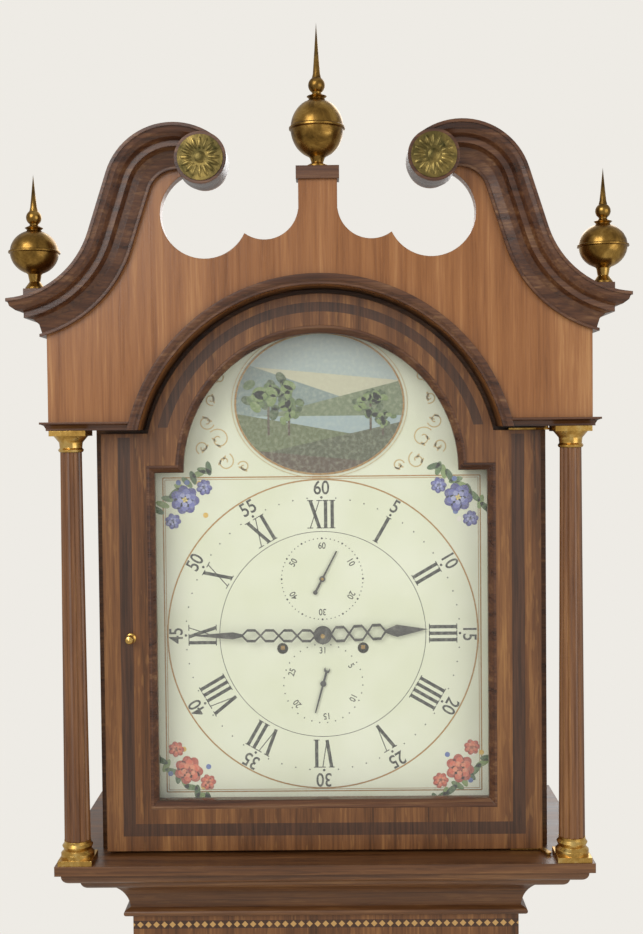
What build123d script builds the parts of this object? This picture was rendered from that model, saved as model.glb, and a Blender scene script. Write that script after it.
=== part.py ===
"""Longcase clock: oak and mahogany case, sliding arched hood with a swan-neck pediment,
painted arched dial and an eight-day weight-driven movement. Millimetres, floor at z = 0,
the viewer looks along +Y and the wall is at the back."""
import os
from math import acos, atan2, cos, degrees, hypot, radians, sin, sqrt

from build123d import *

os.makedirs("parts", exist_ok=True)

# Case heights above the floor
plinth_height = 95
base_height = 505
waist_height = 45
throat_bottom = 1418
throat_height = 42
ledge_height = 30
ledge_bottom = throat_bottom + throat_height
ledge_top = ledge_bottom + ledge_height

# Half widths of the case, and how far each front stands behind the ledge's front edge
base_half = 241
trunk_half = 191
ledge_half = 253
base_setback = 18
trunk_setback = 68
ledge_depth = 250

# Thickness of boards
backboard_thickness = 18
trunk_board = 18
base_board = 16
plinth_board = 9
hood_side_board = 12
frieze_board_thickness = 14
roof_board = 8
seatboard_thickness = 22

# Trunk door and its frame
trunk_stile = 45
trunk_door_bottom = 620
trunk_door_top = 1350
door_gap = 1
trunk_door_thickness = 14
lip_width = 6
lip_thickness = 5
lip_gap = 0.3

# Sliding fit of the hood on the trunk
slide_play = 0.5
cheek_play = 1
runner_height = 12
runner_start = 100

# Hood carcass
hood_side_half = 217
ledge_member = 56
mask_setback = 54
mask_thickness = 10
mask_opening_half = 162
mask_arch_radius = 136.5
roof_height = 520
arch_centre = 367
frieze_setback = 8
frieze_bottom = 408
arch_radius = 174.5
arch_lining = 4
soffit_thickness = 8
arch_moulding_width = 9.5
architrave_height = 8
architrave_projection = 7

# Swan-neck pediment, drawn from the outer lip of its moulding
neck_half = 18
neck_top = 648
crown_centre = (130, 621)
crown_radius = 63.5
sweep_centre = (288.9, 613.8)
sweep_radius = 85.5
cornice_width = 37
cornice_projection = 30
lip_cover = 2
roundel_radius = 23.5
roundel_depth = 32
rosette_depth = 2
rosette_radius = 21
rosette_petals = 16
cutout_centre = (105, 607)
cutout_radius = 41
notch_centre = (49.5, 614.5)
notch_radius = 31.5

# Brass finials
cap_side = 2
cap_top = 2
cap_lip = 10
cap_front = 3
side_finial_half = 261
side_finial_seat = 538.5
plinth_block = 18
plinth_block_height = 9

# Hood columns
column_half = 234
column_setback = 17
column_foot_radius = 12.2
column_neck_radius = 10
column_base_height = 21
capital_height = 20
column_flutes = 12
flute_depth = 1.3
base_plate = 32
abacus = 34

# Hood door
hood_door_half = 209
hood_door_setback = 33
hood_door_thickness = 20
hood_door_bottom = 3
hood_door_shoulder = 404.5
hood_door_arch = 168.5
sight_half = 159
sight_bottom = 50.7
sight_shoulder = 366.8
sight_arch = 131.5
glazing_width = 7
glazing_depth = 11
glass_thickness = 2
pivot_half = 213
pivot_setback = 24
strap_thickness = 2
strap_length = 30
eye_radius = 3
pivot_pin_radius = 1.5
pivot_pin_length = 5
pin_clearance = 0.3
knob_half = 183
knob_height = 209

# Dial
dial_half = 165
dial_centre = 205
dial_setback = 70
dial_thickness = 2
dial_arch_radius = 139
winding_spread = 39.7
winding_drop = 13.8
seconds_rise = 54.8
date_drop = 48.7
winding_hole = 5.5

# Movement plates
plate_half = 74
plate_height = 168
plate_thickness = 3
front_plate_setback = 110
plate_gap = 56
pillar_radius = 5
pillar_inset = 7
pillar_rise = 15
end_play = 0.3
arbor_radius = 2.2

# Weights, lines and pendulum
line_radius = 1
barrel_radius = 17.7
line_drop_radius = 19
barrel_length = 22
weight_radius = 28
weight_length = 200
weight_bottom = 140
pulley_rise = 245
pulley_groove = 17.7
pulley_rim = 22
pulley_thickness = 6
bob_radius = 52
bob_thickness = 24
bob_height = 783
pendulum_setback = 205
rod_radius = 2.5

# Slim round pieces are drawn with this many flats
bar_flats = 12

# Planes worked out from the sizes above
scroll_overhang = roundel_depth + rosette_depth - frieze_setback
front = -(ledge_depth - scroll_overhang) / 2
back = front + ledge_depth
wall_board_front = back - backboard_thickness
base_front = front + base_setback
trunk_front = front + trunk_setback
trunk_inside = trunk_front + trunk_board
frieze_front = front + frieze_setback
frieze_back = frieze_front + frieze_board_thickness
mask_front = front + mask_setback
mask_back = mask_front + mask_thickness
hood_side_inner = hood_side_half - hood_side_board
door_front = front + hood_door_setback
door_back = door_front + hood_door_thickness
dial_front = front + dial_setback
plate_front = front + front_plate_setback
plate_inside = plate_front + plate_thickness
back_plate_inside = plate_inside + plate_gap
plate_back = back_plate_inside + plate_thickness
dial_z = ledge_top + dial_centre
seat_top = dial_z - 70
seat_bottom = seat_top - seatboard_thickness
plate_top = seat_top + plate_height
line_y = (plate_inside + back_plate_inside) / 2
pendulum_y = front + pendulum_setback


def facing(y):
    """Drawing plane at depth y seen from the front; extrusions come towards the viewer."""
    return Plane.XZ.offset(-y)


def block(x, y, z):
    """A board between pairs of limits."""
    with Locations(((x[0] + x[1]) / 2, (y[0] + y[1]) / 2, (z[0] + z[1]) / 2)):
        Box(x[1] - x[0], y[1] - y[0], z[1] - z[0])


def round_bar(x, z, y0, y1, radius, mode=Mode.ADD):
    """A round bar or hole that runs from front to back."""
    with Locations(Location((x, (y0 + y1) / 2, z), (90, 0, 0))):
        Cylinder(radius, y1 - y0, mode=mode)


def small_bar(x, z, y0, y1, radius, mode=Mode.ADD):
    """A slim bar or bore from front to back, drawn with twelve flats."""
    reach = radius if mode == Mode.ADD else radius / cos(radians(180 / bar_flats))
    with BuildSketch(facing(y1)) as outline:
        with Locations((x, z)):
            RegularPolygon(reach, bar_flats)
    extrude(outline.sketch, amount=y1 - y0, mode=mode)


def upright_bar(x, y, z0, z1, radius, mode=Mode.ADD):
    """A slim upright bar or bore, drawn with twelve flats."""
    reach = radius if mode == Mode.ADD else radius / cos(radians(180 / bar_flats))
    with BuildSketch(Plane.XY.offset(z0)) as outline:
        with Locations((x, y)):
            RegularPolygon(reach, bar_flats)
    extrude(outline.sketch, amount=z1 - z0, mode=mode)


def polar(radius, angle):
    """A point by radius and angle in degrees."""
    return (radius * cos(radians(angle)), radius * sin(radians(angle)))


def path_round(half, y, z):
    """The line of a moulding that returns along both sides to the back."""
    return Polyline((-half, back, z), (-half, y, z), (half, y, z), (half, back, z))


def section_plane(half, z):
    """Section at the left back end of such a moulding: x goes inwards, y goes up."""
    return Plane(origin=(-half, back, z), x_dir=(1, 0, 0), z_dir=(0, -1, 0))


# Backboard of the whole clock, narrow behind the trunk and wider behind base and hood
backboard_hood_half = hood_side_inner - cheek_play
backboard_base_half = base_half - base_board
backboard_top = ledge_top + roof_height - 2
with BuildPart() as backboard:
    with BuildSketch(facing(back)):
        with BuildLine():
            Polyline(
                (0, 0),
                (backboard_base_half, 0),
                (backboard_base_half, base_height),
                (trunk_half, base_height),
                (trunk_half, ledge_top + slide_play),
                (backboard_hood_half, ledge_top + slide_play),
                (backboard_hood_half, backboard_top),
                (0, backboard_top),
                close=True,
            )
        make_face()
        mirror(about=Plane.YZ)
    extrude(amount=backboard_thickness)

# Base box: front panel, two sides and a bottom board
bottom_board_height = 30
with BuildPart() as base_panels:
    block((-base_half, base_half), (base_front, base_front + base_board), (0, base_height))
    block(
        (backboard_base_half, base_half),
        (base_front + base_board, back),
        (0, base_height),
    )
    mirror(base_panels.part.solids().sort_by(Axis.X)[-1], about=Plane.YZ)
    block(
        (-backboard_base_half, backboard_base_half),
        (base_front + base_board, wall_board_front),
        (bottom_board_height, bottom_board_height + base_board),
    )

# Skirting round the foot of the base
with BuildPart() as plinth_skirting:
    with BuildLine() as skirting_path:
        path_round(base_half + plinth_board, base_front - plinth_board, 0)
    with BuildSketch(section_plane(base_half + plinth_board, 0)):
        with BuildLine():
            Line((0, 0), (0, plinth_height - 8))
            ThreePointArc((0, plinth_height - 8), (2, plinth_height - 2.5), (6, plinth_height))
            Polyline(
                (6, plinth_height),
                (plinth_board, plinth_height),
                (plinth_board, 0),
                (0, 0),
            )
        make_face()
    sweep(path=skirting_path.line, transition=Transition.RIGHT)

# Waist moulding, a cavetto that steps in from the base to the trunk
waist_reach = base_half + 5 - trunk_half
with BuildPart() as waist_moulding:
    with BuildLine() as waist_path:
        path_round(trunk_half + waist_reach, trunk_front - waist_reach, base_height)
    with BuildSketch(section_plane(trunk_half + waist_reach, base_height)):
        with BuildLine():
            Polyline((0, 0), (0, 8), (3, 8), (6, 12))
            ThreePointArc((6, 12), (32, 17), (waist_reach - 7, waist_height - 7))
            Polyline(
                (waist_reach - 7, waist_height - 7),
                (waist_reach - 4, waist_height - 5),
                (waist_reach - 4, waist_height),
                (waist_reach, waist_height),
                (waist_reach, 0),
                (0, 0),
            )
        make_face()
    sweep(path=waist_path.line, transition=Transition.RIGHT)

# Trunk sides, carried up inside the hood as cheeks, with the strips that hold the hood down
trunk_foot = base_height - 15
with BuildPart() as trunk_sides:
    block(
        (trunk_half - trunk_board, trunk_half),
        (trunk_inside, wall_board_front),
        (trunk_foot, seat_bottom),
    )
    block(
        (trunk_half, backboard_hood_half),
        (front + runner_start, wall_board_front),
        (ledge_top + slide_play, ledge_top + slide_play + runner_height),
    )
    mirror(about=Plane.YZ)

# Front frame of the trunk: two stiles and two rails round the door
opening_half = trunk_half - trunk_stile
with BuildPart() as trunk_frame:
    block((opening_half, trunk_half), (trunk_front, trunk_inside), (trunk_foot, ledge_bottom))
    mirror(about=Plane.YZ)
    block(
        (-opening_half, opening_half),
        (trunk_front, trunk_inside),
        (trunk_foot, trunk_door_bottom),
    )
    block(
        (-opening_half, opening_half),
        (trunk_front, trunk_inside),
        (trunk_door_top, ledge_bottom),
    )

# Throat moulding under the hood, a cavetto over a bead
throat_reach = 24
with BuildPart() as throat_moulding:
    with BuildLine() as throat_path:
        path_round(trunk_half + throat_reach, trunk_front - throat_reach, throat_bottom)
    with BuildSketch(section_plane(trunk_half + throat_reach, throat_bottom)):
        with BuildLine():
            Line((throat_reach, throat_height), (0, throat_height))
            Line((0, throat_height), (0, throat_height - 4))
            ThreePointArc(
                (0, throat_height - 4),
                (14.5, throat_height - 15),
                (throat_reach - 2, 8),
            )
            Line((throat_reach - 2, 8), (throat_reach - 6, 6))
            ThreePointArc((throat_reach - 6, 6), (throat_reach - 8, 3), (throat_reach - 6, 0))
            Polyline((throat_reach - 6, 0), (throat_reach, 0), (throat_reach, throat_height))
        make_face()
    sweep(path=throat_path.line, transition=Transition.RIGHT)

# Trunk door: an oak board in the opening with a moulded lip over the frame
lip_half = opening_half + lip_width
with BuildPart() as trunk_door:
    block(
        (-opening_half + door_gap, opening_half - door_gap),
        (trunk_front - lip_gap, trunk_front + trunk_door_thickness),
        (trunk_door_bottom + door_gap, trunk_door_top - door_gap),
    )
    block(
        (-lip_half, lip_half),
        (trunk_front - lip_gap - lip_thickness, trunk_front - lip_gap),
        (trunk_door_bottom - lip_width, trunk_door_top + lip_width),
    )
    chamfer(trunk_door.faces().sort_by(Axis.Y)[0].edges(), length=lip_thickness * 0.6)

# Brass butt hinges of the trunk door, with knuckles outside the lip
hinge_heights = (trunk_door_bottom + 90, trunk_door_top - 90)
hinge_leaf = 50
leaf_width = 14
leaf_thickness = 1.5
knuckle_radius = 3
hinge_pin_radius = 1.2
hinge_x = lip_half + 1.5 + knuckle_radius
hinge_y = trunk_front - leaf_thickness - knuckle_radius + 1
door_leaf_back = trunk_front - lip_gap - lip_thickness
third = hinge_leaf / 3
with BuildPart() as trunk_door_fittings:
    for z in hinge_heights:
        z0 = z - third / 2 + end_play
        z1 = z + third / 2 - end_play
        upright_bar(hinge_x, hinge_y, z0, z1, knuckle_radius)
        block(
            (hinge_x - leaf_width - knuckle_radius, hinge_x - hinge_pin_radius - 2 * pin_clearance),
            (door_leaf_back - leaf_thickness, door_leaf_back),
            (z0, z1),
        )
        upright_bar(
            hinge_x,
            hinge_y,
            z0 - 1,
            z1 + 1,
            hinge_pin_radius + pin_clearance,
            mode=Mode.SUBTRACT,
        )
    # Escutcheon of the lock, and the lock's case behind the board
    with BuildSketch(facing(door_leaf_back)):
        with Locations((-opening_half + 16, (trunk_door_bottom + trunk_door_top) / 2)):
            RegularPolygon(9, bar_flats)
            Rectangle(2, 8, mode=Mode.SUBTRACT)
    extrude(amount=leaf_thickness)
    lock_back = trunk_front + trunk_door_thickness
    lock_z = (trunk_door_bottom + trunk_door_top) / 2
    block((-opening_half + 3, -opening_half + 40), (lock_back, lock_back + 10), (lock_z - 28, lock_z + 28))

with BuildPart() as trunk_hinge_leaves:
    for z in hinge_heights:
        for side in (-1, 1):
            z0 = z + side * third - third / 2 + end_play
            z1 = z + side * third + third / 2 - end_play
            upright_bar(hinge_x, hinge_y, z0, z1, knuckle_radius)
            block(
                (hinge_x, hinge_x + leaf_width + knuckle_radius),
                (trunk_front - leaf_thickness, trunk_front),
                (z0, z1),
            )
        upright_bar(hinge_x, hinge_y, z - hinge_leaf / 2, z + hinge_leaf / 2, hinge_pin_radius)
        block(
            (hinge_x + knuckle_radius + 2, hinge_x + leaf_width + knuckle_radius),
            (trunk_front - leaf_thickness, trunk_front),
            (z - third, z + third),
        )

# Ledge of the hood: moulded bottom frame that slides over the throat moulding
with BuildPart() as hood_base_moulding:
    with BuildLine() as ledge_path:
        path_round(ledge_half, front, ledge_top)
    with BuildSketch(section_plane(ledge_half, ledge_top)):
        with BuildLine():
            Polyline((0, 0), (0, -9), (5, -9), (5, -11))
            ThreePointArc((5, -11), (8, -17.5), (15, -20))
            Line((15, -20), (20, -20))
            ThreePointArc((20, -20), (22, -26.5), (27, -ledge_height))
            Polyline((27, -ledge_height), (ledge_member, -ledge_height), (ledge_member, 0), (0, 0))
        make_face()
    sweep(path=ledge_path.line, transition=Transition.RIGHT)
    block(
        (ledge_member - ledge_half, ledge_half - ledge_member),
        (front + ledge_member, mask_back + 2),
        (ledge_bottom, ledge_top),
    )
    upright_bar(
        pivot_half,
        front + pivot_setback,
        ledge_top - pivot_pin_length - 1,
        ledge_top + 1,
        pivot_pin_radius + pin_clearance,
        mode=Mode.SUBTRACT,
    )

# Hood sides
with BuildPart() as hood_sides:
    block(
        (hood_side_inner, hood_side_half),
        (mask_back, back),
        (ledge_top, ledge_top + roof_height),
    )
    mirror(about=Plane.YZ)

# Hood front frame, the mask behind the door, with its arched opening
arch_z = ledge_top + arch_centre
lining_radius = arch_radius + arch_lining
with BuildPart() as hood_front_frame:
    with BuildSketch(facing(mask_back)):
        with Locations((0, ledge_top + roof_height / 2)):
            Rectangle(2 * hood_side_half, roof_height)
        with Locations((0, arch_z)):
            Circle(lining_radius)
        with Locations((0, ledge_top + (sight_bottom - 5 + arch_centre) / 2)):
            Rectangle(
                2 * mask_opening_half,
                arch_centre - sight_bottom + 5,
                mode=Mode.SUBTRACT,
            )
        with Locations((0, arch_z)):
            Circle(mask_arch_radius, mode=Mode.SUBTRACT)
    extrude(amount=mask_thickness)

# Outline of the pediment board and the outer lip of its moulding
lean = degrees(
    atan2(sweep_centre[1] - crown_centre[1], sweep_centre[0] - crown_centre[0])
    + acos(
        (crown_radius + sweep_radius)
        / hypot(sweep_centre[0] - crown_centre[0], sweep_centre[1] - crown_centre[1])
    )
)
crown_z = ledge_top + crown_centre[1]
sweep_z = ledge_top + sweep_centre[1]
roundel_angle = 128.7
scroll_end = 124
roundel_x = crown_centre[0] + (crown_radius - roundel_radius) * cos(radians(roundel_angle))
roundel_z = crown_z + (crown_radius - roundel_radius) * sin(radians(roundel_angle))


def lip_lines(inset):
    """The swan-neck line of the right half, inset from the outer lip, from the side inwards."""
    CenterArc((sweep_centre[0], sweep_z), sweep_radius + inset, 270, lean - 90)
    low = polar(sweep_radius + inset, lean + 180)
    high = polar(crown_radius - inset, lean)
    Line(
        (sweep_centre[0] + low[0], sweep_z + low[1]),
        (crown_centre[0] + high[0], crown_z + high[1]),
    )
    CenterArc((crown_centre[0], crown_z), crown_radius - inset, lean, scroll_end - lean)


# Pediment and frieze, one board with the arched opening and the scrolled cut-outs
board_top = polar(crown_radius - lip_cover, scroll_end)
with BuildPart() as frieze_board:
    with BuildSketch(facing(frieze_back)):
        with BuildLine():
            lip_lines(lip_cover)
            Polyline(
                (crown_centre[0] + board_top[0], crown_z + board_top[1]),
                (neck_half, ledge_top + neck_top),
                (0, ledge_top + neck_top),
                (0, ledge_top + frieze_bottom),
                (sweep_centre[0], ledge_top + frieze_bottom),
                (sweep_centre[0], sweep_z - sweep_radius - lip_cover),
            )
        make_face()
        with Locations((ledge_half + 50, ledge_top + frieze_bottom + 100)):
            Rectangle(100, 220, mode=Mode.SUBTRACT)
        with Locations((cutout_centre[0], ledge_top + cutout_centre[1])):
            Circle(cutout_radius, mode=Mode.SUBTRACT)
        with Locations((notch_centre[0], ledge_top + notch_centre[1])):
            Circle(notch_radius, mode=Mode.SUBTRACT)
        sky_bottom = ledge_top + (cutout_centre[1] + notch_centre[1]) / 2
        with Locations((neck_half, sky_bottom)):
            Rectangle(
                roundel_x - neck_half,
                100,
                align=(Align.MIN, Align.MIN),
                mode=Mode.SUBTRACT,
            )
        with Locations((roundel_x, roundel_z)):
            Circle(roundel_radius - lip_cover)
        mirror(about=Plane.YZ)
        with Locations((0, arch_z)):
            Circle(arch_radius, mode=Mode.SUBTRACT)
    extrude(amount=frieze_board_thickness)


def cornice_section(point):
    """Draw the cornice section; point(u, v) places u across the width, v out from the board."""
    width = cornice_width
    reach = cornice_projection
    Polyline(
        point(width, 0),
        point(width, reach),
        point(width - 3, reach),
        point(width - 3, reach - 1.5),
        point(width - 7, reach * 0.91),
        point(width - 11, reach * 0.76),
        point(width - 13.5, reach * 0.56),
        point(width - 18.5, reach * 0.56),
        point(width - 18.5, reach * 0.5),
        point(width - 21, reach * 0.32),
        point(width - 26, reach * 0.18),
        point(2.5, reach * 0.11),
        point(2.5, reach * 0.18),
        point(0, reach * 0.18),
        point(0, 0),
        close=True,
    )


# Mitre between the swan neck and the cornice along the hood's side
mitre = Plane(origin=(ledge_half, frieze_front, ledge_top), z_dir=(1, 1, 0))
lip_start = (sweep_centre[0], frieze_front, sweep_z - sweep_radius)

# Swan-neck mouldings of the pediment, each cut to its roundel
with BuildPart() as swan_necks:
    with BuildLine(facing(frieze_front)) as lip_path:
        lip_lines(0)
    with BuildSketch(Plane(origin=lip_start, x_dir=(0, -1, 0), z_dir=(-1, 0, 0))):
        with BuildLine():
            cornice_section(lambda u, v: (v, u - cornice_width))
        make_face()
    sweep(path=lip_path.line)
    split(bisect_by=mitre, keep=Keep.BOTTOM)
    round_bar(
        roundel_x,
        roundel_z,
        frieze_front - roundel_depth - 1,
        frieze_front + 1,
        roundel_radius,
        mode=Mode.SUBTRACT,
    )
    mirror(about=Plane.YZ)


def side_point(u, v):
    """Where the swan neck's section meets the mitre, seen from the front."""
    radius = sweep_radius + cornice_width - u
    x = ledge_half + v
    return (x, sweep_z - sqrt(radius**2 - (x - sweep_centre[0]) ** 2))


# Cornices along the two sides of the hood
with BuildPart() as side_cornices:
    with BuildSketch(facing(back)):
        with BuildLine():
            cornice_section(side_point)
        make_face()
    extrude(amount=ledge_depth + cornice_projection)
    split(bisect_by=mitre, keep=Keep.TOP)
    mirror(about=Plane.YZ)

# Sides of the frieze, behind the side cornices
frieze_side_top = side_point(cornice_width - lip_cover, 0)[1]
frieze_side_inner = ledge_half - frieze_board_thickness
with BuildPart() as frieze_sides:
    block(
        (frieze_side_inner, ledge_half),
        (frieze_back, back),
        (ledge_top + frieze_bottom, frieze_side_top),
    )
    mirror(about=Plane.YZ)

# Soffit over the columns, with the thin lining of the arch and the top door pivot's hole
soffit_z = ledge_top + frieze_bottom
with BuildPart() as hood_soffit:
    with BuildSketch(facing(mask_front)):
        with Locations((0, arch_z)):
            Circle(lining_radius)
        with Locations((0, soffit_z + soffit_thickness / 2)):
            Rectangle(2 * frieze_side_inner, soffit_thickness)
        with Locations((0, arch_z)):
            Circle(arch_radius, mode=Mode.SUBTRACT)
        with Locations((0, soffit_z)):
            Rectangle(
                2 * ledge_half,
                2 * lining_radius,
                align=(Align.CENTER, Align.MAX),
                mode=Mode.SUBTRACT,
            )
    extrude(amount=mask_front - frieze_back)
    for side in (-1, 1):
        inner, outer = sorted((side * hood_side_half, side * frieze_side_inner))
        block((inner, outer), (mask_front, back), (soffit_z, soffit_z + soffit_thickness))
    upright_bar(
        pivot_half,
        front + pivot_setback,
        soffit_z - 1,
        soffit_z + pivot_pin_length,
        pivot_pin_radius + pin_clearance,
        mode=Mode.SUBTRACT,
    )

# Roof board, cut round the arch lining behind the pediment
with BuildPart() as hood_roof:
    block(
        (-frieze_side_inner, frieze_side_inner),
        (frieze_back, back),
        (ledge_top + roof_height, ledge_top + roof_height + roof_board),
    )
    round_bar(0, arch_z, frieze_back - 1, mask_back, lining_radius, mode=Mode.SUBTRACT)

# Mouldings under the frieze and round the arched opening
arch_outer = arch_radius + arch_moulding_width
with BuildPart() as architrave_moulding:
    with BuildLine() as architrave_path:
        Polyline(
            (arch_radius - 10, frieze_front, soffit_z),
            (ledge_half, frieze_front, soffit_z),
            (ledge_half, back, soffit_z),
        )
    with BuildSketch(
        Plane(
            origin=(arch_radius - 10, frieze_front, soffit_z),
            x_dir=(0, 1, 0),
            z_dir=(1, 0, 0),
        )
    ):
        with BuildLine():
            Polyline(
                (0, 0),
                (-2, 0),
                (-2, 2),
                (-3.5, 4.8),
                (1 - architrave_projection, 6),
                (-architrave_projection, 6),
                (-architrave_projection, architrave_height),
                (0, architrave_height),
                (0, 0),
            )
        make_face()
    sweep(path=architrave_path.line, transition=Transition.RIGHT)
    round_bar(
        0,
        arch_z,
        frieze_front - architrave_projection - 1,
        frieze_front + 1,
        arch_outer,
        mode=Mode.SUBTRACT,
    )
    mirror(about=Plane.YZ)
    with BuildSketch(Plane(origin=(0, frieze_front, arch_z), x_dir=(1, 0, 0), z_dir=(0, 0, 1))):
        with BuildLine():
            Polyline(
                (arch_radius, 0),
                (arch_radius, -3),
                (arch_radius + 2, -3),
                (arch_radius + 4.5, -5.5),
                (arch_outer - 2, -6),
                (arch_outer, -6),
                (arch_outer, 0),
                close=True,
            )
        make_face()
    revolve(axis=Axis((0, frieze_front, arch_z), (0, -1, 0)), revolution_arc=180)
    with Locations((0, frieze_front, arch_z)):
        Box(
            2 * arch_outer + 2,
            30,
            frieze_bottom - arch_centre,
            align=(Align.CENTER, Align.CENTER, Align.MIN),
            mode=Mode.SUBTRACT,
        )

# Turned roundels at the ends of the swan necks
with BuildPart() as scroll_roundels:
    for side in (-1, 1):
        round_bar(
            side * roundel_x,
            roundel_z,
            frieze_front - roundel_depth,
            frieze_front,
            roundel_radius,
        )

# Stamped brass rosettes on the roundels
with BuildPart() as brass_rosettes:
    petal = 180 / rosette_petals
    star = [
        polar(rosette_radius * (1 if n % 2 else 0.86), n * petal) for n in range(2 * rosette_petals)
    ]
    with BuildSketch(facing(frieze_front - roundel_depth)):
        for side in (-1, 1):
            with BuildLine():
                Polyline(*[(side * roundel_x + x, roundel_z + z) for x, z in star], close=True)
            make_face()
    extrude(amount=rosette_depth / 2)
    with BuildSketch(facing(frieze_front - roundel_depth - rosette_depth / 2)):
        for side in (-1, 1):
            with Locations((side * roundel_x, roundel_z)):
                RegularPolygon(rosette_radius * 0.45, rosette_petals)
    extrude(amount=rosette_depth / 2)

# Small plinths that carry the finials: a cap over the neck and a block on each corner
neck_z = ledge_top + neck_top
finial_y = (frieze_front + frieze_back) / 2
side_finial_y = front
seat_z = ledge_top + side_finial_seat
with BuildPart() as finial_plinths:
    block(
        (-neck_half - cap_side, neck_half + cap_side),
        (frieze_front - cap_front, frieze_back + cap_front),
        (neck_z - cap_lip, neck_z + cap_top),
    )
    block_cut = Box(
        2 * neck_half,
        frieze_board_thickness,
        cap_lip,
        align=(Align.CENTER, Align.CENTER, Align.MAX),
        mode=Mode.PRIVATE,
    ).locate(Location((0, finial_y, neck_z)))
    add(block_cut, mode=Mode.SUBTRACT)
    for side in (-1, 1):
        with Locations((side * side_finial_half, side_finial_y, seat_z)):
            Box(
                plinth_block,
                plinth_block,
                plinth_block_height,
                align=(Align.CENTER, Align.CENTER, Align.MAX),
            )
    add(swan_necks.part, mode=Mode.SUBTRACT)
    add(side_cornices.part, mode=Mode.SUBTRACT)
    add(frieze_board.part, mode=Mode.SUBTRACT)
    add(frieze_sides.part, mode=Mode.SUBTRACT)


def finial(x, y, seat, foot, ball_height, ball, spire):
    """A spun brass ball finial with a rim seam, a small upper ball and a spire."""
    rim = seat + foot + ball_height / 2
    top = seat + foot + ball_height
    neck = 0.28 * ball
    bead = 0.32 * ball
    with BuildSketch(Plane(origin=(x, y, 0), x_dir=(1, 0, 0), z_dir=(0, -1, 0))) as outline:
        with BuildLine():
            Polyline(
                (0, seat),
                (0.4 * ball, seat),
                (neck, seat + foot),
                *[
                    (ball * cos(radians(a)), rim - ball_height / 2 * sin(radians(a)))
                    for a in (58, 42, 26, 10)
                ],
                (ball + 1.5, rim),
                *[
                    (ball * cos(radians(a)), rim + ball_height / 2 * sin(radians(a)))
                    for a in (10, 26, 42, 58)
                ],
                (neck, top),
                (0.38 * ball, top + 2),
                (neck * 0.6, top + 4.5),
                (bead, top + 4.5 + bead),
                (neck * 0.6, top + 4.5 + 2 * bead),
                (0.14 * ball, top + 7 + 2 * bead),
                (0, seat + spire),
                close=True,
            )
        make_face()
    revolve(outline.sketch, axis=Axis((x, y, 0), (0, 0, 1)))


with BuildPart() as finials:
    finial(0, finial_y, neck_z + cap_top, 8.4, 54.6, 24.6, 133)
    for side in (-1, 1):
        finial(side * side_finial_half, side_finial_y, seat_z, 13.5, 40.5, 22, 105)

# Fluted columns, tapered from foot to neck
shaft_bottom = ledge_top + column_base_height
shaft_top = soffit_z - capital_height
column_y = front + column_setback


def flute_points(radius):
    """Section of a fluted shaft: a land and a shallow groove in turn."""
    points = []
    for flute in range(column_flutes):
        angle = flute * 360 / column_flutes
        points.append(polar(radius, angle - 10))
        points.append(polar(radius - flute_depth, angle))
        points.append(polar(radius, angle + 10))
    return points


with BuildPart() as hood_columns:
    for side in (-1, 1):
        for z, radius in ((shaft_bottom, column_foot_radius), (shaft_top, column_neck_radius)):
            with BuildSketch(Plane(origin=(side * column_half, column_y, z))):
                with BuildLine():
                    Polyline(*flute_points(radius), close=True)
                make_face()
        loft(ruled=True)

# Turned brass bases and capitals
with BuildPart() as column_brasses:
    for side in (-1, 1):
        foot = Plane(origin=(side * column_half, column_y, ledge_top), z_dir=(0, -1, 0), x_dir=(1, 0, 0))
        with Locations((side * column_half, column_y, ledge_top)):
            Box(base_plate, base_plate, 5, align=(Align.CENTER, Align.CENTER, Align.MIN))
        with BuildSketch(foot):
            with BuildLine():
                Polyline(
                    (0, 5),
                    (15.6, 5),
                    (15.6, 9),
                    (12.6, 12),
                    (14.4, 16),
                    (12.6, 18.5),
                    (column_foot_radius + 0.3, column_base_height),
                    (0, column_base_height),
                    close=True,
                )
            make_face()
        revolve(axis=Axis((side * column_half, column_y, 0), (0, 0, 1)))
        with Locations((side * column_half, column_y, soffit_z)):
            Box(abacus, abacus, 5, align=(Align.CENTER, Align.CENTER, Align.MAX))
        head = Plane(origin=(side * column_half, column_y, soffit_z), z_dir=(0, -1, 0), x_dir=(1, 0, 0))
        with BuildSketch(head):
            with BuildLine():
                Polyline(
                    (0, -capital_height),
                    (column_neck_radius + 1, -capital_height),
                    (column_neck_radius + 2, 2 - capital_height),
                    (column_neck_radius + 0.5, 4 - capital_height),
                    (column_neck_radius + 1, 9 - capital_height),
                    (16, -5),
                    (0, -5),
                    close=True,
                )
            make_face()
        revolve(axis=Axis((side * column_half, column_y, 0), (0, 0, 1)))


def arched_outline(half, bottom, shoulder, radius):
    """A break-arch shape: a rectangle with a smaller round arch on its shoulders."""
    with Locations((0, ledge_top + bottom)):
        Rectangle(2 * half, shoulder - bottom, align=(Align.CENTER, Align.MIN))
    with Locations((0, arch_z)):
        Circle(radius)


# Hood door frame: stiles, bottom rail and arched head
frame_half = sight_half + glazing_width
frame_bottom = sight_bottom - glazing_width
frame_shoulder = sight_shoulder + glazing_width
frame_arch = sight_arch + glazing_width
with BuildPart() as hood_door_frame:
    with BuildSketch(facing(door_back)):
        arched_outline(hood_door_half, hood_door_bottom, hood_door_shoulder, hood_door_arch)
    extrude(amount=hood_door_thickness)
    with BuildSketch(facing(door_back)):
        arched_outline(frame_half, frame_bottom, frame_shoulder, frame_arch)
    extrude(amount=hood_door_thickness, mode=Mode.SUBTRACT)

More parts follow.
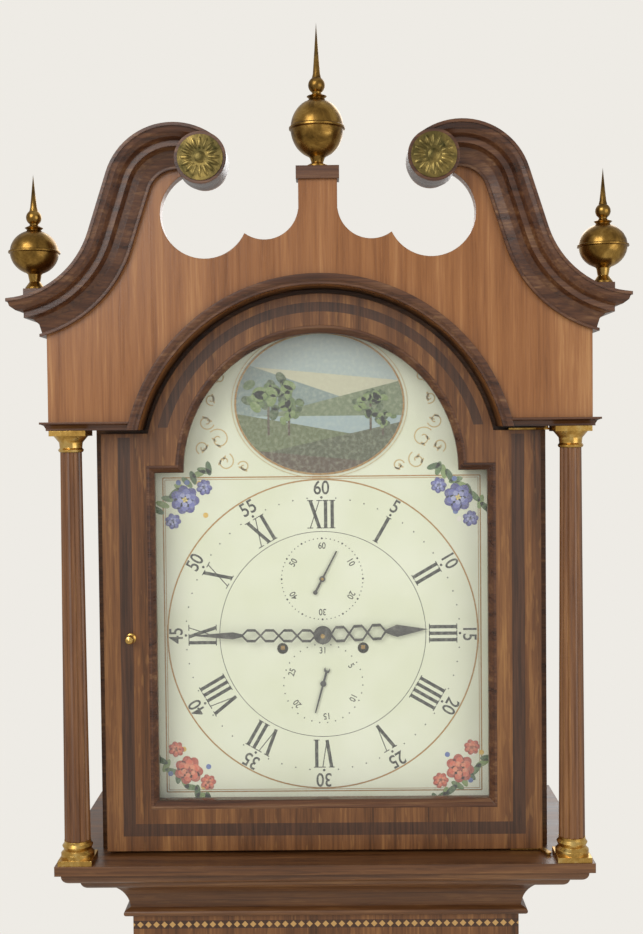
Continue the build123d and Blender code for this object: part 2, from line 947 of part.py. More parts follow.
# Ovolo glazing moulding inside the door frame
with BuildPart() as glazing_moulding:
    with BuildSketch(facing(door_front + glazing_depth)):
        arched_outline(frame_half, frame_bottom, frame_shoulder, frame_arch)
    extrude(amount=glazing_depth)
    with BuildSketch(facing(door_front + glazing_depth)):
        arched_outline(sight_half, sight_bottom, sight_shoulder, sight_arch)
    extrude(amount=glazing_depth, mode=Mode.SUBTRACT)
    inner_front = glazing_moulding.faces().sort_by(Axis.Y)[0].inner_wires()[0].edges()
    chamfer(inner_front, length=glazing_width * 0.7)

# Glass of the hood door
with BuildPart() as hood_door_glass:
    with BuildSketch(facing(door_front + glazing_depth + glass_thickness)):
        arched_outline(frame_half, frame_bottom, frame_shoulder, frame_arch)
    extrude(amount=glass_thickness)

# Brass fittings of the door: the knob on the left stile, and strap pivots at the top and
# bottom edge with their eyes out by the column
pivot_y = front + pivot_setback
with BuildPart() as hood_door_fittings:
    knob_plane = Plane(
        origin=(-knob_half, door_front, ledge_top + knob_height),
        x_dir=(1, 0, 0),
        z_dir=(0, 0, 1),
    )
    with BuildSketch(knob_plane):
        with BuildLine():
            Polyline(
                (0, 0),
                (4.8, 0),
                (4.8, -1),
                (2, -2.5),
                (2, -6),
                (4.6, -8.5),
                (3.4, -12),
                (0, -13),
                close=True,
            )
        make_face()
    revolve(axis=Axis(knob_plane.origin, (0, -1, 0)))
    for edge, side in ((hood_door_bottom, -1), (hood_door_shoulder, 1)):
        z0, z1 = sorted((ledge_top + edge, ledge_top + edge + side * strap_thickness))
        block(
            (hood_door_half - strap_length, hood_door_half),
            (door_front + 3, door_back - 5),
            (z0, z1),
        )
        with BuildSketch(Plane.XY.offset(z0)):
            with BuildLine():
                Polyline(
                    (hood_door_half - 4, door_front + 3),
                    (pivot_half - eye_radius + 0.5, pivot_y),
                    (pivot_half + eye_radius - 0.5, pivot_y),
                    (hood_door_half, door_front + 9),
                    (hood_door_half - 4, door_front + 9),
                    close=True,
                )
            make_face()
            with Locations((pivot_half, pivot_y)):
                RegularPolygon(eye_radius, bar_flats)
        extrude(amount=strap_thickness)
        pin_z0, pin_z1 = (z0 - pivot_pin_length, z0 + 1) if side < 0 else (z0 + 1, z1 + pivot_pin_length - 1.5)
        upright_bar(pivot_half, pivot_y, pin_z0, pin_z1, pivot_pin_radius)

# Painted dial plate with its four feet
with BuildPart() as dial_plate:
    with BuildSketch(facing(dial_front + dial_thickness)):
        with Locations((0, dial_z)):
            Rectangle(2 * dial_half, 2 * dial_half)
        with Locations((0, arch_z)):
            Circle(dial_arch_radius)
        with Locations((0, dial_z)):
            RegularPolygon(6, bar_flats, mode=Mode.SUBTRACT)
            with Locations((-winding_spread, -winding_drop), (winding_spread, -winding_drop)):
                RegularPolygon(winding_hole, 2 * bar_flats, mode=Mode.SUBTRACT)
            with Locations((0, seconds_rise), (0, -date_drop)):
                RegularPolygon(2.6, bar_flats, mode=Mode.SUBTRACT)
    extrude(amount=dial_thickness)
    for x in (-58, 58):
        for z in (dial_z - 60, dial_z + 70):
            small_bar(x, z, dial_front + dial_thickness, plate_front, 4)

# Seatboard on the cheeks, with holes for the lines and a notch for the pendulum
barrel_z = dial_z - winding_drop
line_spots = [
    side * winding_spread + fall * line_drop_radius for side in (-1, 1) for fall in (-1, 1)
]
notch_half = 22
notch_front = plate_back + 18
with BuildPart() as seatboard:
    block((-trunk_half, trunk_half), (front + 92, wall_board_front), (seat_bottom, seat_top))
    with BuildSketch(Plane.XY.offset(seat_bottom)):
        with Locations(*[(x, line_y) for x in line_spots]):
            RegularPolygon(3, 8)
        with Locations((0, (notch_front + wall_board_front) / 2 + 1)):
            Rectangle(2 * notch_half, wall_board_front - notch_front + 2)
    extrude(amount=seatboard_thickness, mode=Mode.SUBTRACT)

# Positions of the arbors, as sideways distance and height from the dial's centre
centre_at = (0, 0)
going_at = (winding_spread, -winding_drop)
strike_at = (-winding_spread, -winding_drop)
third_at = (8.5, 29.4)
escape_at = (0, seconds_rise)
pin_wheel_at = (-winding_spread, 25.3)
pallet_at = (0, 80.8)
hammer_at = (-52, 57)
minute_stud_reach = 28
minute_stud_angle = 150
minute_stud_at = polar(minute_stud_reach, minute_stud_angle)
date_at = (0, -date_drop)
minute_wheel_y = plate_front - 8
hour_wheel_y = plate_front - 15

# Plates of the movement with their pillars, the date post and the pendulum's cock
pallet_z = dial_z + pallet_at[1]
cock_bottom = pallet_z + 7
with BuildPart() as movement_plates:
    block((-plate_half, plate_half), (plate_front, plate_inside), (seat_top, plate_top))
    block((-plate_half, plate_half), (back_plate_inside, plate_back), (seat_top, plate_top))
    for x in (pillar_inset - plate_half, plate_half - pillar_inset):
        for z in (seat_top + pillar_rise, plate_top - pillar_rise):
            small_bar(x, z, plate_inside, back_plate_inside, pillar_radius)
    for at, radius in (
        (centre_at, arbor_radius + 0.5),
        (going_at, arbor_radius + 1),
        (strike_at, arbor_radius + 1),
        (escape_at, 2),
        (minute_stud_at, 1.6),
    ):
        small_bar(
            at[0],
            dial_z + at[1],
            plate_front - 1,
            plate_inside + 1,
            radius,
            mode=Mode.SUBTRACT,
        )
    small_bar(0, pallet_z, back_plate_inside - 1, plate_back + 1, 2.5, mode=Mode.SUBTRACT)
    small_bar(0, dial_z - date_drop, dial_front + 12, plate_front, 3)
    block((-14, 14), (plate_back, pendulum_y + 6), (cock_bottom, plate_top))

# Bell on a cranked post over the movement
bell_y = line_y + 14
bell_bottom = plate_top + 45
bell_radius = 42
bell_wall = 2.5
bell_height = 38
with BuildPart() as bell:
    with BuildSketch(Plane(origin=(0, bell_y, bell_bottom), x_dir=(1, 0, 0), z_dir=(0, -1, 0))):
        with BuildLine():
            Polyline(
                (bell_radius, 0),
                (bell_radius * 0.8, bell_height * 0.5),
                (bell_radius * 0.45, bell_height),
                (0, bell_height),
                (0, bell_height - bell_wall),
                (bell_radius * 0.4, bell_height - bell_wall),
                (bell_radius * 0.8 - bell_wall, bell_height * 0.5),
                (bell_radius - bell_wall, 0),
                close=True,
            )
        make_face()
    revolve(axis=Axis((0, bell_y, 0), (0, 0, 1)))
    upright_bar(0, bell_y, plate_top, bell_bottom + bell_height + 6, 3)
    block((-5, 5), (bell_y - 3, plate_back), (plate_top, plate_top + 5))

# Shape of the teeth, in modules
wheel_tip = 0.8
wheel_root = 1.0
leaf_tip = 0.6
leaf_root = 1.0
leaf_share = 0.3


def arbor_plane(at, y):
    """Drawing plane across an arbor at depth y; extrusions come towards the viewer."""
    return Plane(origin=(at[0], y, dial_z + at[1]), x_dir=(1, 0, 0), z_dir=(0, -1, 0))


def direction(start, end):
    """Angle in degrees from one arbor to another, seen from the front."""
    return degrees(atan2(end[1] - start[1], end[0] - start[0]))


def wheel_outline(count, module, tooth_at):
    """Pointed teeth of a wheel, one of them at the given angle."""
    pitch = 360 / count
    radius = count * module / 2
    points = []
    for tooth in range(count):
        angle = tooth_at + tooth * pitch
        points.append(polar(radius - wheel_root * module, angle - pitch / 2))
        points.append(polar(radius + wheel_tip * module, angle))
    return points


def pinion_outline(count, module, gap_at):
    """Thin leaves of a pinion, with a gap at the given angle."""
    pitch = 360 / count
    radius = count * module / 2
    points = []
    for leaf in range(count):
        angle = gap_at + (leaf + 0.5) * pitch
        points.append(polar(radius - leaf_root * module, angle - leaf_share * pitch / 2))
        points.append(polar(radius + leaf_tip * module, angle))
        points.append(polar(radius - leaf_root * module, angle + leaf_share * pitch / 2))
    return points


def toothed(at, y, thickness, points):
    """A toothed piece whose back is at depth y."""
    with BuildSketch(arbor_plane(at, y)) as outline:
        with BuildLine():
            Polyline(*points, close=True)
        make_face()
    extrude(outline.sketch, amount=thickness)


def cross_out(at, y, thickness, hub, rim):
    """Four openings between the hub and the rim of a wheel, leaving four arms."""
    with BuildSketch(arbor_plane(at, y)) as openings:
        for quarter in range(4):
            middle = 45 + 90 * quarter
            with BuildLine():
                Polyline(
                    polar(hub, middle - 25),
                    polar(rim, middle - 36),
                    polar(rim / cos(radians(12)), middle - 12),
                    polar(rim / cos(radians(12)), middle + 12),
                    polar(rim, middle + 36),
                    polar(hub, middle + 25),
                    close=True,
                )
            make_face()
    extrude(openings.sketch, amount=thickness, mode=Mode.SUBTRACT)


# Train of the going side: teeth, leaves and modules
great_teeth = 96
centre_leaves = 8
centre_teeth = 60
third_leaves = 8
third_teeth = 56
escape_leaves = 7
escape_teeth = 30
motion_teeth = 40
minute_leaves = 6
hour_teeth = 72
great_module = 2 * hypot(*going_at) / (great_teeth + centre_leaves)
centre_module = 2 * hypot(*third_at) / (centre_teeth + third_leaves)
third_module = (
    2 * hypot(escape_at[0] - third_at[0], escape_at[1] - third_at[1]) / (third_teeth + escape_leaves)
)
motion_module = minute_stud_reach / motion_teeth
hour_module = 2 * minute_stud_reach / (hour_teeth + minute_leaves)
wheel_thickness = 2.5

# Depths of the wheels between the plates
great_y = plate_inside + 10
third_wheel_y = plate_inside + 17
centre_wheel_y = plate_inside + 40
escape_wheel_y = plate_inside + 49
barrel_back = great_y + 0.5 + barrel_length + 3

# Hands, in front of the dial
sub_hand_back = dial_front - 1.4
hour_hand_back = dial_front - 3.8
minute_hand_back = dial_front - 8
hand_thickness = 1.2
sub_hand_thickness = 0.8

# Centre arbor: pinion, centre wheel, and the cannon wheel in front of the plates
with BuildPart() as centre_arbor:
    small_bar(0, dial_z, dial_front - 12.5, back_plate_inside - end_play, arbor_radius)
    toothed(
        centre_at,
        great_y + 3,
        9,
        pinion_outline(centre_leaves, great_module, direction(centre_at, going_at)),
    )
    toothed(
        centre_at,
        centre_wheel_y,
        wheel_thickness,
        wheel_outline(centre_teeth, centre_module, direction(centre_at, third_at)),
    )
    cross_out(centre_at, centre_wheel_y, wheel_thickness, 7, 21)
    toothed(
        centre_at,
        minute_wheel_y,
        wheel_thickness,
        wheel_outline(motion_teeth, motion_module, minute_stud_angle),
    )

# Minute wheel on its arbor, with the pinion that drives the hour wheel
with BuildPart() as minute_wheel:
    gap_angle = minute_stud_angle + 180
    half_pitch = 180 / motion_teeth
    toothed(
        minute_stud_at,
        minute_wheel_y,
        wheel_thickness,
        wheel_outline(motion_teeth, motion_module * 0.985, gap_angle + half_pitch),
    )
    toothed(
        minute_stud_at,
        minute_wheel_y - wheel_thickness,
        minute_wheel_y - wheel_thickness - hour_wheel_y + 4,
        pinion_outline(minute_leaves, hour_module, gap_angle),
    )
    small_bar(
        minute_stud_at[0],
        dial_z + minute_stud_at[1],
        hour_wheel_y - 5,
        plate_inside,
        1.2,
    )

# Hour wheel and its pipe, which turn on the centre arbor
pipe_radius = arbor_radius + 2
with BuildPart() as hour_wheel:
    toothed(
        centre_at,
        hour_wheel_y,
        wheel_thickness,
        wheel_outline(hour_teeth, hour_module, minute_stud_angle),
    )
    cross_out(centre_at, hour_wheel_y, wheel_thickness, 7, 20)
    small_bar(0, dial_z, hour_hand_back - hand_thickness, hour_wheel_y, pipe_radius)
    small_bar(
        0,
        dial_z,
        hour_hand_back - hand_thickness - 1,
        hour_wheel_y + 1,
        arbor_radius + 2 * pin_clearance,
        mode=Mode.SUBTRACT,
    )

# Third arbor
with BuildPart() as third_arbor:
    small_bar(
        third_at[0],
        dial_z + third_at[1],
        plate_inside + end_play,
        back_plate_inside - end_play,
        arbor_radius - 0.7,
    )
    toothed(
        third_at,
        centre_wheel_y + 3,
        9,
        pinion_outline(third_leaves, centre_module, direction(third_at, centre_at)),
    )
    toothed(
        third_at,
        third_wheel_y,
        wheel_thickness,
        wheel_outline(third_teeth, third_module, direction(third_at, escape_at)),
    )
    cross_out(third_at, third_wheel_y, wheel_thickness, 6, 18.5)

# Escape arbor, which also carries the seconds hand
escape_radius = 18
escape_depth = 4
with BuildPart() as escape_arbor:
    small_bar(
        0,
        dial_z + seconds_rise,
        sub_hand_back - sub_hand_thickness,
        back_plate_inside - end_play,
        1.5,
    )
    toothed(
        escape_at,
        third_wheel_y + 3,
        9,
        pinion_outline(escape_leaves, third_module, direction(escape_at, third_at)),
    )
    escape_points = []
    for tooth in range(escape_teeth):
        angle = tooth * 360 / escape_teeth
        escape_points.append(polar(escape_radius - escape_depth, angle - 5))
        escape_points.append(polar(escape_radius, angle - 1.5))
        escape_points.append(polar(escape_radius - escape_depth, angle))
    toothed(escape_at, escape_wheel_y, 1.6, escape_points)
    cross_out(escape_at, escape_wheel_y, 1.6, 5, 11)

# Great wheel of the going side, free on the barrel's arbor
with BuildPart() as going_great_wheel:
    toothed(
        going_at,
        great_y,
        wheel_thickness,
        wheel_outline(great_teeth, great_module, direction(going_at, centre_at)),
    )
    cross_out(going_at, great_y, wheel_thickness, 14, 32)
    small_bar(
        going_at[0],
        barrel_z,
        great_y - wheel_thickness - 1,
        great_y + 1,
        arbor_radius + 2 * pin_clearance,
        mode=Mode.SUBTRACT,
    )


def barrel(at):
    """A line barrel with its end discs and its winding square, on one arbor."""
    x, z = at[0], dial_z + at[1]
    start = great_y + 0.5
    small_bar(x, z, plate_front - 26, back_plate_inside - end_play, arbor_radius)
    with BuildSketch(arbor_plane(at, plate_front - 26)) as square:
        Rectangle(2 * arbor_radius * 0.95, 2 * arbor_radius * 0.95)
    extrude(square.sketch, amount=10)
    small_bar(x, z, start, barrel_back, barrel_radius)
    small_bar(x, z, start, start + 1.5, barrel_radius + 2.5)
    small_bar(x, z, barrel_back - 1.5, barrel_back, barrel_radius + 2.5)


with BuildPart() as going_barrel:
    barrel(going_at)

# Strike side: barrel with its great wheel, pin wheel and hammer
strike_teeth = 84
pin_leaves = 8
pin_teeth = 56
pin_wheel_module = 0.75
pin_wheel_y = plate_inside + 45
hammer_pins = 8
pin_circle = 15.5
strike_module = 2 * hypot(0, pin_wheel_at[1] - strike_at[1]) / (strike_teeth + pin_leaves)
with BuildPart() as strike_barrel:
    barrel(strike_at)
    toothed(
        strike_at,
        great_y + 0.5,
        wheel_thickness,
        wheel_outline(strike_teeth, strike_module, direction(strike_at, pin_wheel_at)),
    )

with BuildPart() as pin_wheel:
    small_bar(
        pin_wheel_at[0],
        dial_z + pin_wheel_at[1],
        plate_inside + end_play,
        back_plate_inside - end_play,
        arbor_radius - 0.7,
    )
    toothed(
        pin_wheel_at,
        great_y + 3,
        9,
        pinion_outline(pin_leaves, strike_module, direction(pin_wheel_at, strike_at)),
    )
    toothed(
        pin_wheel_at,
        pin_wheel_y,
        wheel_thickness,
        wheel_outline(pin_teeth, pin_wheel_module, 0),
    )
    with BuildSketch(arbor_plane(pin_wheel_at, pin_wheel_y + 4)):
        with PolarLocations(pin_circle, hammer_pins):
            RegularPolygon(1.2, 6)
    extrude(amount=4)

# Hammer: arbor, tail towards the pins, and the rod with its head by the bell
hammer_z = dial_z + hammer_at[1]
head_z = bell_bottom + 5
head_gap = 0.6
head_length = 16
tail_toward = direction(hammer_at, pin_wheel_at)
tail_length = hypot(hammer_at[0] - pin_wheel_at[0], hammer_at[1] - pin_wheel_at[1]) - pin_circle - 2
with BuildPart() as hammer:
    small_bar(
        hammer_at[0],
        hammer_z,
        plate_inside + end_play,
        back_plate_inside - end_play,
        arbor_radius - 0.7,
    )
    with BuildSketch(arbor_plane(hammer_at, pin_wheel_y + 4)):
        with BuildLine():
            Polyline(
                polar(3, tail_toward + 90),
                polar(tail_length, tail_toward),
                polar(3, tail_toward - 90),
                close=True,
            )
        make_face()
    extrude(amount=3)
    block(
        (hammer_at[0] - 1.5, hammer_at[0] + 1.5),
        (bell_y - 1.5, bell_y + 1.5),
        (hammer_z, head_z),
    )
    head_end = -bell_radius - head_gap
    block((head_end - head_length, head_end), (bell_y - 4, bell_y + 4), (head_z - 4.5, head_z + 4.5))

# Anchor pallets with their arbor and the crutch behind the back plate
anchor_clear = 1.8
pallet_tip = polar(escape_radius + anchor_clear, 45)
crutch_y = pendulum_y - 8
crutch_length = 96
with BuildPart() as pallets:
    small_bar(0, pallet_z, plate_inside + end_play, crutch_y + 2, 1.8)
    with BuildSketch(arbor_plane(pallet_at, escape_wheel_y + 0.4)):
        drop = pallet_at[1] - escape_at[1]
        with BuildLine():
            Polyline(
                (0, 4),
                (pallet_tip[0] + 3, pallet_tip[1] - drop + 3),
                (pallet_tip[0], pallet_tip[1] - drop),
                (pallet_tip[0] - 1.5, pallet_tip[1] - drop + 3.5),
                (0, -3.5),
                (1.5 - pallet_tip[0], pallet_tip[1] - drop + 3.5),
                (-pallet_tip[0], pallet_tip[1] - drop),
                (-pallet_tip[0] - 3, pallet_tip[1] - drop + 3),
                close=True,
            )
        make_face()
    extrude(amount=2.4)
    block((-1.5, 1.5), (crutch_y - 1, crutch_y + 2), (pallet_z - crutch_length, pallet_z))
    for side in (-1, 1):
        x0, x1 = sorted((side * (rod_radius + 0.8), side * (rod_radius + 2.8)))
        block((x0, x1), (crutch_y + 2, pendulum_y + rod_radius), (pallet_z - crutch_length, pallet_z - crutch_length + 4))
    block(
        (-rod_radius - 2.8, rod_radius + 2.8),
        (crutch_y - 1, crutch_y + 2),
        (pallet_z - crutch_length, pallet_z - crutch_length + 4),
    )

# Pendulum: suspension spring, rod, lens-shaped bob and rating nut
spring_length = 32
with BuildPart() as pendulum:
    block(
        (-5, 5),
        (pendulum_y - 0.4, pendulum_y + 0.4),
        (cock_bottom - end_play - spring_length, cock_bottom - end_play),
    )
    rod_top = cock_bottom - end_play - spring_length + 4
    rod_bottom = bob_height - bob_radius - 16
    upright_bar(0, pendulum_y, rod_bottom, rod_top, rod_radius)
    upright_bar(0, pendulum_y, rod_bottom, rod_bottom + 5, 7)
    with BuildSketch(Plane(origin=(0, pendulum_y, bob_height), x_dir=(1, 0, 0), z_dir=(0, 0, 1))):
        with BuildLine():
            Polyline(
                (0, -bob_thickness / 2),
                (bob_radius * 0.45, -bob_thickness * 0.44),
                (bob_radius * 0.8, -bob_thickness * 0.26),
                (bob_radius, 0),
                (bob_radius * 0.8, bob_thickness * 0.26),
                (bob_radius * 0.45, bob_thickness * 0.44),
                (0, bob_thickness / 2),
                close=True,
            )
        make_face()
    revolve(axis=Axis((0, pendulum_y, bob_height), (0, 1, 0)))


def gut_lines(x):
    """Two straight falls of a line, from the seatboard down to the pulley."""
    for fall in (-1, 1):
        upright_bar(x + fall * line_drop_radius, line_y, pulley_z, seat_bottom, line_radius)


pulley_z = weight_bottom + pulley_rise
with BuildPart() as going_line:
    gut_lines(winding_spread)

with BuildPart() as strike_line:
    gut_lines(-winding_spread)

# Upper ends of the lines: one to the barrel, one to its knot on the seatboard
knot = 5
with BuildPart() as line_ends:
    for side in (-1, 1):
        up = side * winding_spread - line_drop_radius
        down = side * winding_spread + line_drop_radius
        upright_bar(up, line_y, seat_bottom, barrel_z, line_radius)
        upright_bar(down, line_y, seat_bottom, seat_top + knot, line_radius)
        upright_bar(down, line_y, seat_top, seat_top + knot, 3.6)


def weight(x):
    """A brass-cased weight with its stirrup, and the half turn of line under the pulley."""
    top = weight_bottom + weight_length
    fork = pulley_thickness / 2 + 1
    with BuildSketch(Plane(origin=(x, line_y, 0), x_dir=(1, 0, 0), z_dir=(0, -1, 0))) as outline:
        with BuildLine():
            Polyline(
                (0, weight_bottom),
                (weight_radius, weight_bottom),
                (weight_radius, top),
                (4, top + 2),
                (4, top + 8),
                (0, top + 8),
                close=True,
            )
        make_face()
    revolve(outline.sketch, axis=Axis((x, line_y, 0), (0, 0, 1)))
    block((x - 4, x + 4), (line_y - fork - 2, line_y + fork + 2), (top + 8, top + 13))
    for side in (-1, 1):
        y0, y1 = sorted((line_y + side * fork, line_y + side * (fork + 2)))
        block((x - 4, x + 4), (y0, y1), (top + 13, pulley_z + 5))
    small_bar(x, pulley_z, line_y - fork, line_y + fork, 2)
    with BuildSketch(Plane(origin=(x - line_drop_radius, line_y, pulley_z), z_dir=(0, 0, -1))) as gut:
        RegularPolygon(line_radius, 6)
    revolve(gut.sketch, axis=Axis((x, line_y, pulley_z), (0, -1, 0)), revolution_arc=180)


with BuildPart() as going_weight:
    weight(winding_spread)

with BuildPart() as strike_weight:
    weight(-winding_spread)


def pulley(x):
    """A grooved brass pulley; its rim is turned in short flats."""
    flats = 24
    half = pulley_thickness / 2
    for back_y, depth, radius in (
        (line_y + half, 1.4, pulley_rim),
        (line_y + half - 1.4, pulley_thickness - 2.8, pulley_groove),
        (line_y - half + 1.4, 1.4, pulley_rim),
    ):
        with BuildSketch(facing(back_y)) as disc:
            with Locations((x, pulley_z)):
                RegularPolygon(radius, flats)
        extrude(disc.sketch, amount=depth)
    small_bar(x, pulley_z, line_y - half - 1, line_y + half + 1, 2 + pin_clearance, mode=Mode.SUBTRACT)


with BuildPart() as going_pulley:
    pulley(winding_spread)

with BuildPart() as strike_pulley:
    pulley(-winding_spread)


def hand_plane(at, y, clockwise):
    """Plane of a hand that points along its own y axis, turned clockwise from upright."""
    turn = radians(clockwise)
    return Plane(
        origin=(at[0], y, dial_z + at[1]),
        x_dir=(cos(turn), 0, -sin(turn)),
        z_dir=(0, -1, 0),
    )


def eyelets(start, end, swing, count, width):
    """Outlines of a chain of pointed open loops, as in a pierced steel hand."""
    step = (end - start) / count
    outlines = []
    for grow, mode in ((width / 2, Mode.ADD), (-width / 2, Mode.SUBTRACT)):
        for loop in range(count):
            low = start + loop * step
            half = swing * 0.75 + grow
            points = [
                (0, low - grow),
                (half, low + step * 0.28),
                (half, low + step * 0.72),
                (0, low + step + grow),
                (-half, low + step * 0.72),
                (-half, low + step * 0.28),
            ]
            outlines.append((points, mode))
    return outlines


# Hands of pierced steel: round boss, open loops and a long point
minute_length = 130
hour_length = 103
minute_turn = 270.5
hour_turn = 87.2
seconds_turn = 27.6
date_turn = 195.6
with BuildPart() as minute_hand:
    with BuildSketch(hand_plane(centre_at, minute_hand_back, minute_turn)):
        for points, mode in eyelets(7, 79, 7, 4, 2.4):
            with BuildLine():
                Polyline(*points, close=True)
            make_face(mode=mode)
        with BuildLine():
            Polyline((-1.2, 78), (-3.4, 88), (0, minute_length), (3.4, 88), (1.2, 78), close=True)
        make_face()
        RegularPolygon(8, 2 * bar_flats)
        RegularPolygon(arbor_radius / cos(radians(180 / bar_flats)), bar_flats, mode=Mode.SUBTRACT)
    extrude(amount=hand_thickness)

with BuildPart() as hour_hand:
    with BuildSketch(hand_plane(centre_at, hour_hand_back, hour_turn)):
        for points, mode in eyelets(8, 62, 9, 3, 2.6):
            with BuildLine():
                Polyline(*points, close=True)
            make_face(mode=mode)
        with BuildLine():
            Polyline((-1.2, 61), (-6, 73), (0, hour_length), (6, 73), (1.2, 61), close=True)
        make_face()
        RegularPolygon(9, 2 * bar_flats)
        RegularPolygon(pipe_radius / cos(radians(180 / bar_flats)), bar_flats, mode=Mode.SUBTRACT)
    extrude(amount=hand_thickness)

with BuildPart() as seconds_hand:
    with BuildSketch(hand_plane(escape_at, sub_hand_back, seconds_turn)):
        with BuildLine():
            Polyline((-1.1, -14), (-0.6, 31), (0.6, 31), (1.1, -14), close=True)
        make_face()
        RegularPolygon(3, bar_flats)
        with Locations((0, -15)):
            RegularPolygon(2.2, bar_flats)
        RegularPolygon(1.5 / cos(radians(180 / bar_flats)), bar_flats, mode=Mode.SUBTRACT)
    extrude(amount=sub_hand_thickness)

# Date hand on its own arbor, with the toothed date wheel behind the dial
date_teeth = 31
with BuildPart() as date_hand:
    with BuildSketch(hand_plane(date_at, sub_hand_back, date_turn)):
        with BuildLine():
            Polyline((-1.1, -12), (-0.6, 30), (0.6, 30), (1.1, -12), close=True)
        make_face()
        RegularPolygon(3, bar_flats)
        with Locations((0, -14)):
            RegularPolygon(3, bar_flats)
        with Locations((0, -15.5)):
            RegularPolygon(2, bar_flats, mode=Mode.SUBTRACT)
    extrude(amount=sub_hand_thickness)
    small_bar(0, dial_z - date_drop, sub_hand_back, dial_front + 12 - end_play, 1.5)
    toothed(date_at, dial_front + 9, 1.6, wheel_outline(date_teeth, 1.15, 90))

pieces = {
    "backboard": backboard,
    "base_panels": base_panels,
    "plinth_skirting": plinth_skirting,
    "waist_moulding": waist_moulding,
    "trunk_sides": trunk_sides,
    "trunk_frame": trunk_frame,
    "throat_moulding": throat_moulding,
    "trunk_door": trunk_door,
    "trunk_door_fittings": trunk_door_fittings,
    "trunk_hinge_leaves": trunk_hinge_leaves,
    "hood_base_moulding": hood_base_moulding,
    "hood_sides": hood_sides,
    "hood_front_frame": hood_front_frame,
    "frieze_board": frieze_board,
    "frieze_sides": frieze_sides,
    "hood_soffit": hood_soffit,
    "hood_roof": hood_roof,
    "architrave_moulding": architrave_moulding,
    "swan_necks": swan_necks,
    "side_cornices": side_cornices,
    "scroll_roundels": scroll_roundels,
    "brass_rosettes": brass_rosettes,
    "finial_plinths": finial_plinths,
    "finials": finials,
    "hood_columns": hood_columns,
    "column_brasses": column_brasses,
    "hood_door_frame": hood_door_frame,
    "glazing_moulding": glazing_moulding,
    "hood_door_glass": hood_door_glass,
    "hood_door_fittings": hood_door_fittings,
    "dial_plate": dial_plate,
    "seatboard": seatboard,
    "movement_plates": movement_plates,
    "bell": bell,
    "centre_arbor": centre_arbor,
    "minute_wheel": minute_wheel,
    "hour_wheel": hour_wheel,
    "third_arbor": third_arbor,
    "escape_arbor": escape_arbor,
    "going_great_wheel": going_great_wheel,
    "going_barrel": going_barrel,
    "strike_barrel": strike_barrel,
    "pin_wheel": pin_wheel,
    "hammer": hammer,
    "pallets": pallets,
    "pendulum": pendulum,
    "going_line": going_line,
    "strike_line": strike_line,
    "line_ends": line_ends,
    "going_weight": going_weight,
    "strike_weight": strike_weight,
    "going_pulley": going_pulley,
    "strike_pulley": strike_pulley,
    "minute_hand": minute_hand,
    "hour_hand": hour_hand,
    "seconds_hand": seconds_hand,
    "date_hand": date_hand,
}
for name, piece in pieces.items():
    piece.part.label = name
    export_step(piece.part, f"parts/{name}.step")
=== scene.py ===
"""Longcase clock: oak and mahogany hood with a swan-neck pediment and a painted dial.
The solids come packed, in metres, floor at z = 0 and the viewer looking along +Y."""
import math
import random

import bmesh
import bpy
from mathutils import Matrix, Vector


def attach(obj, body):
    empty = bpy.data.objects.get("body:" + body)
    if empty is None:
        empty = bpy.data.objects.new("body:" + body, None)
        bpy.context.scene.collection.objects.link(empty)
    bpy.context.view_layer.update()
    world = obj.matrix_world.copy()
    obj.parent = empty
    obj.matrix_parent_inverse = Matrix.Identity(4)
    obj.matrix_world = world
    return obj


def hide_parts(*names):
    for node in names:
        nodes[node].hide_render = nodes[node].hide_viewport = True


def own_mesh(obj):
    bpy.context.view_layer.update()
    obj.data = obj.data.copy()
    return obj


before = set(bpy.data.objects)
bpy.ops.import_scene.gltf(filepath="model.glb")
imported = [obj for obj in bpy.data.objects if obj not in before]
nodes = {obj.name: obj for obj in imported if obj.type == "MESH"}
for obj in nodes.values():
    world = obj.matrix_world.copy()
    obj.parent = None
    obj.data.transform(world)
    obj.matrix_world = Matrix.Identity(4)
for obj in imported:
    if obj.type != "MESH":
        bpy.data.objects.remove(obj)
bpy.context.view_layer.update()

# The viewpoint: straight in front of the hood, level with the arch of the dial and tilted
# slightly down.
eye = Vector((0.0115, -1.242, 1.900))
yaw, pitch, roll = (math.radians(a) for a in (-0.529, -1.914, -0.590))
ahead = Vector((math.sin(yaw), math.cos(yaw), 0))
right = Vector((math.cos(yaw), -math.sin(yaw), 0))
up = Vector((0, 0, 1))
sight = ahead * math.cos(pitch) + up * math.sin(pitch)
upright = up * math.cos(pitch) - ahead * math.sin(pitch)
level = right * math.cos(roll) + upright * math.sin(roll)
tilted = upright * math.cos(roll) - right * math.sin(roll)
camera = bpy.data.objects.new("camera", bpy.data.cameras.new("camera"))
camera.data.lens = 47.19
camera.data.sensor_width = 36
camera.data.clip_start = 0.05
turned = Matrix((level, tilted, -sight)).transposed().to_4x4()
camera.matrix_world = Matrix.Translation(eye) @ turned
bpy.context.scene.collection.objects.link(camera)
bpy.context.scene.camera = camera
bpy.context.scene.view_settings.view_transform = "Standard"


# Studio: a pale round floor and a pale backdrop, even light from all round, and three soft
# lamps: the key at the left, a fill at the right and one behind the clock.
def colour(code):
    """Linear colour of an sRGB hex value."""
    parts = [int(code[i : i + 2], 16) / 255 for i in (1, 3, 5)]
    return (*[p / 12.92 if p <= 0.04045 else ((p + 0.055) / 1.055) ** 2.4 for p in parts], 1)


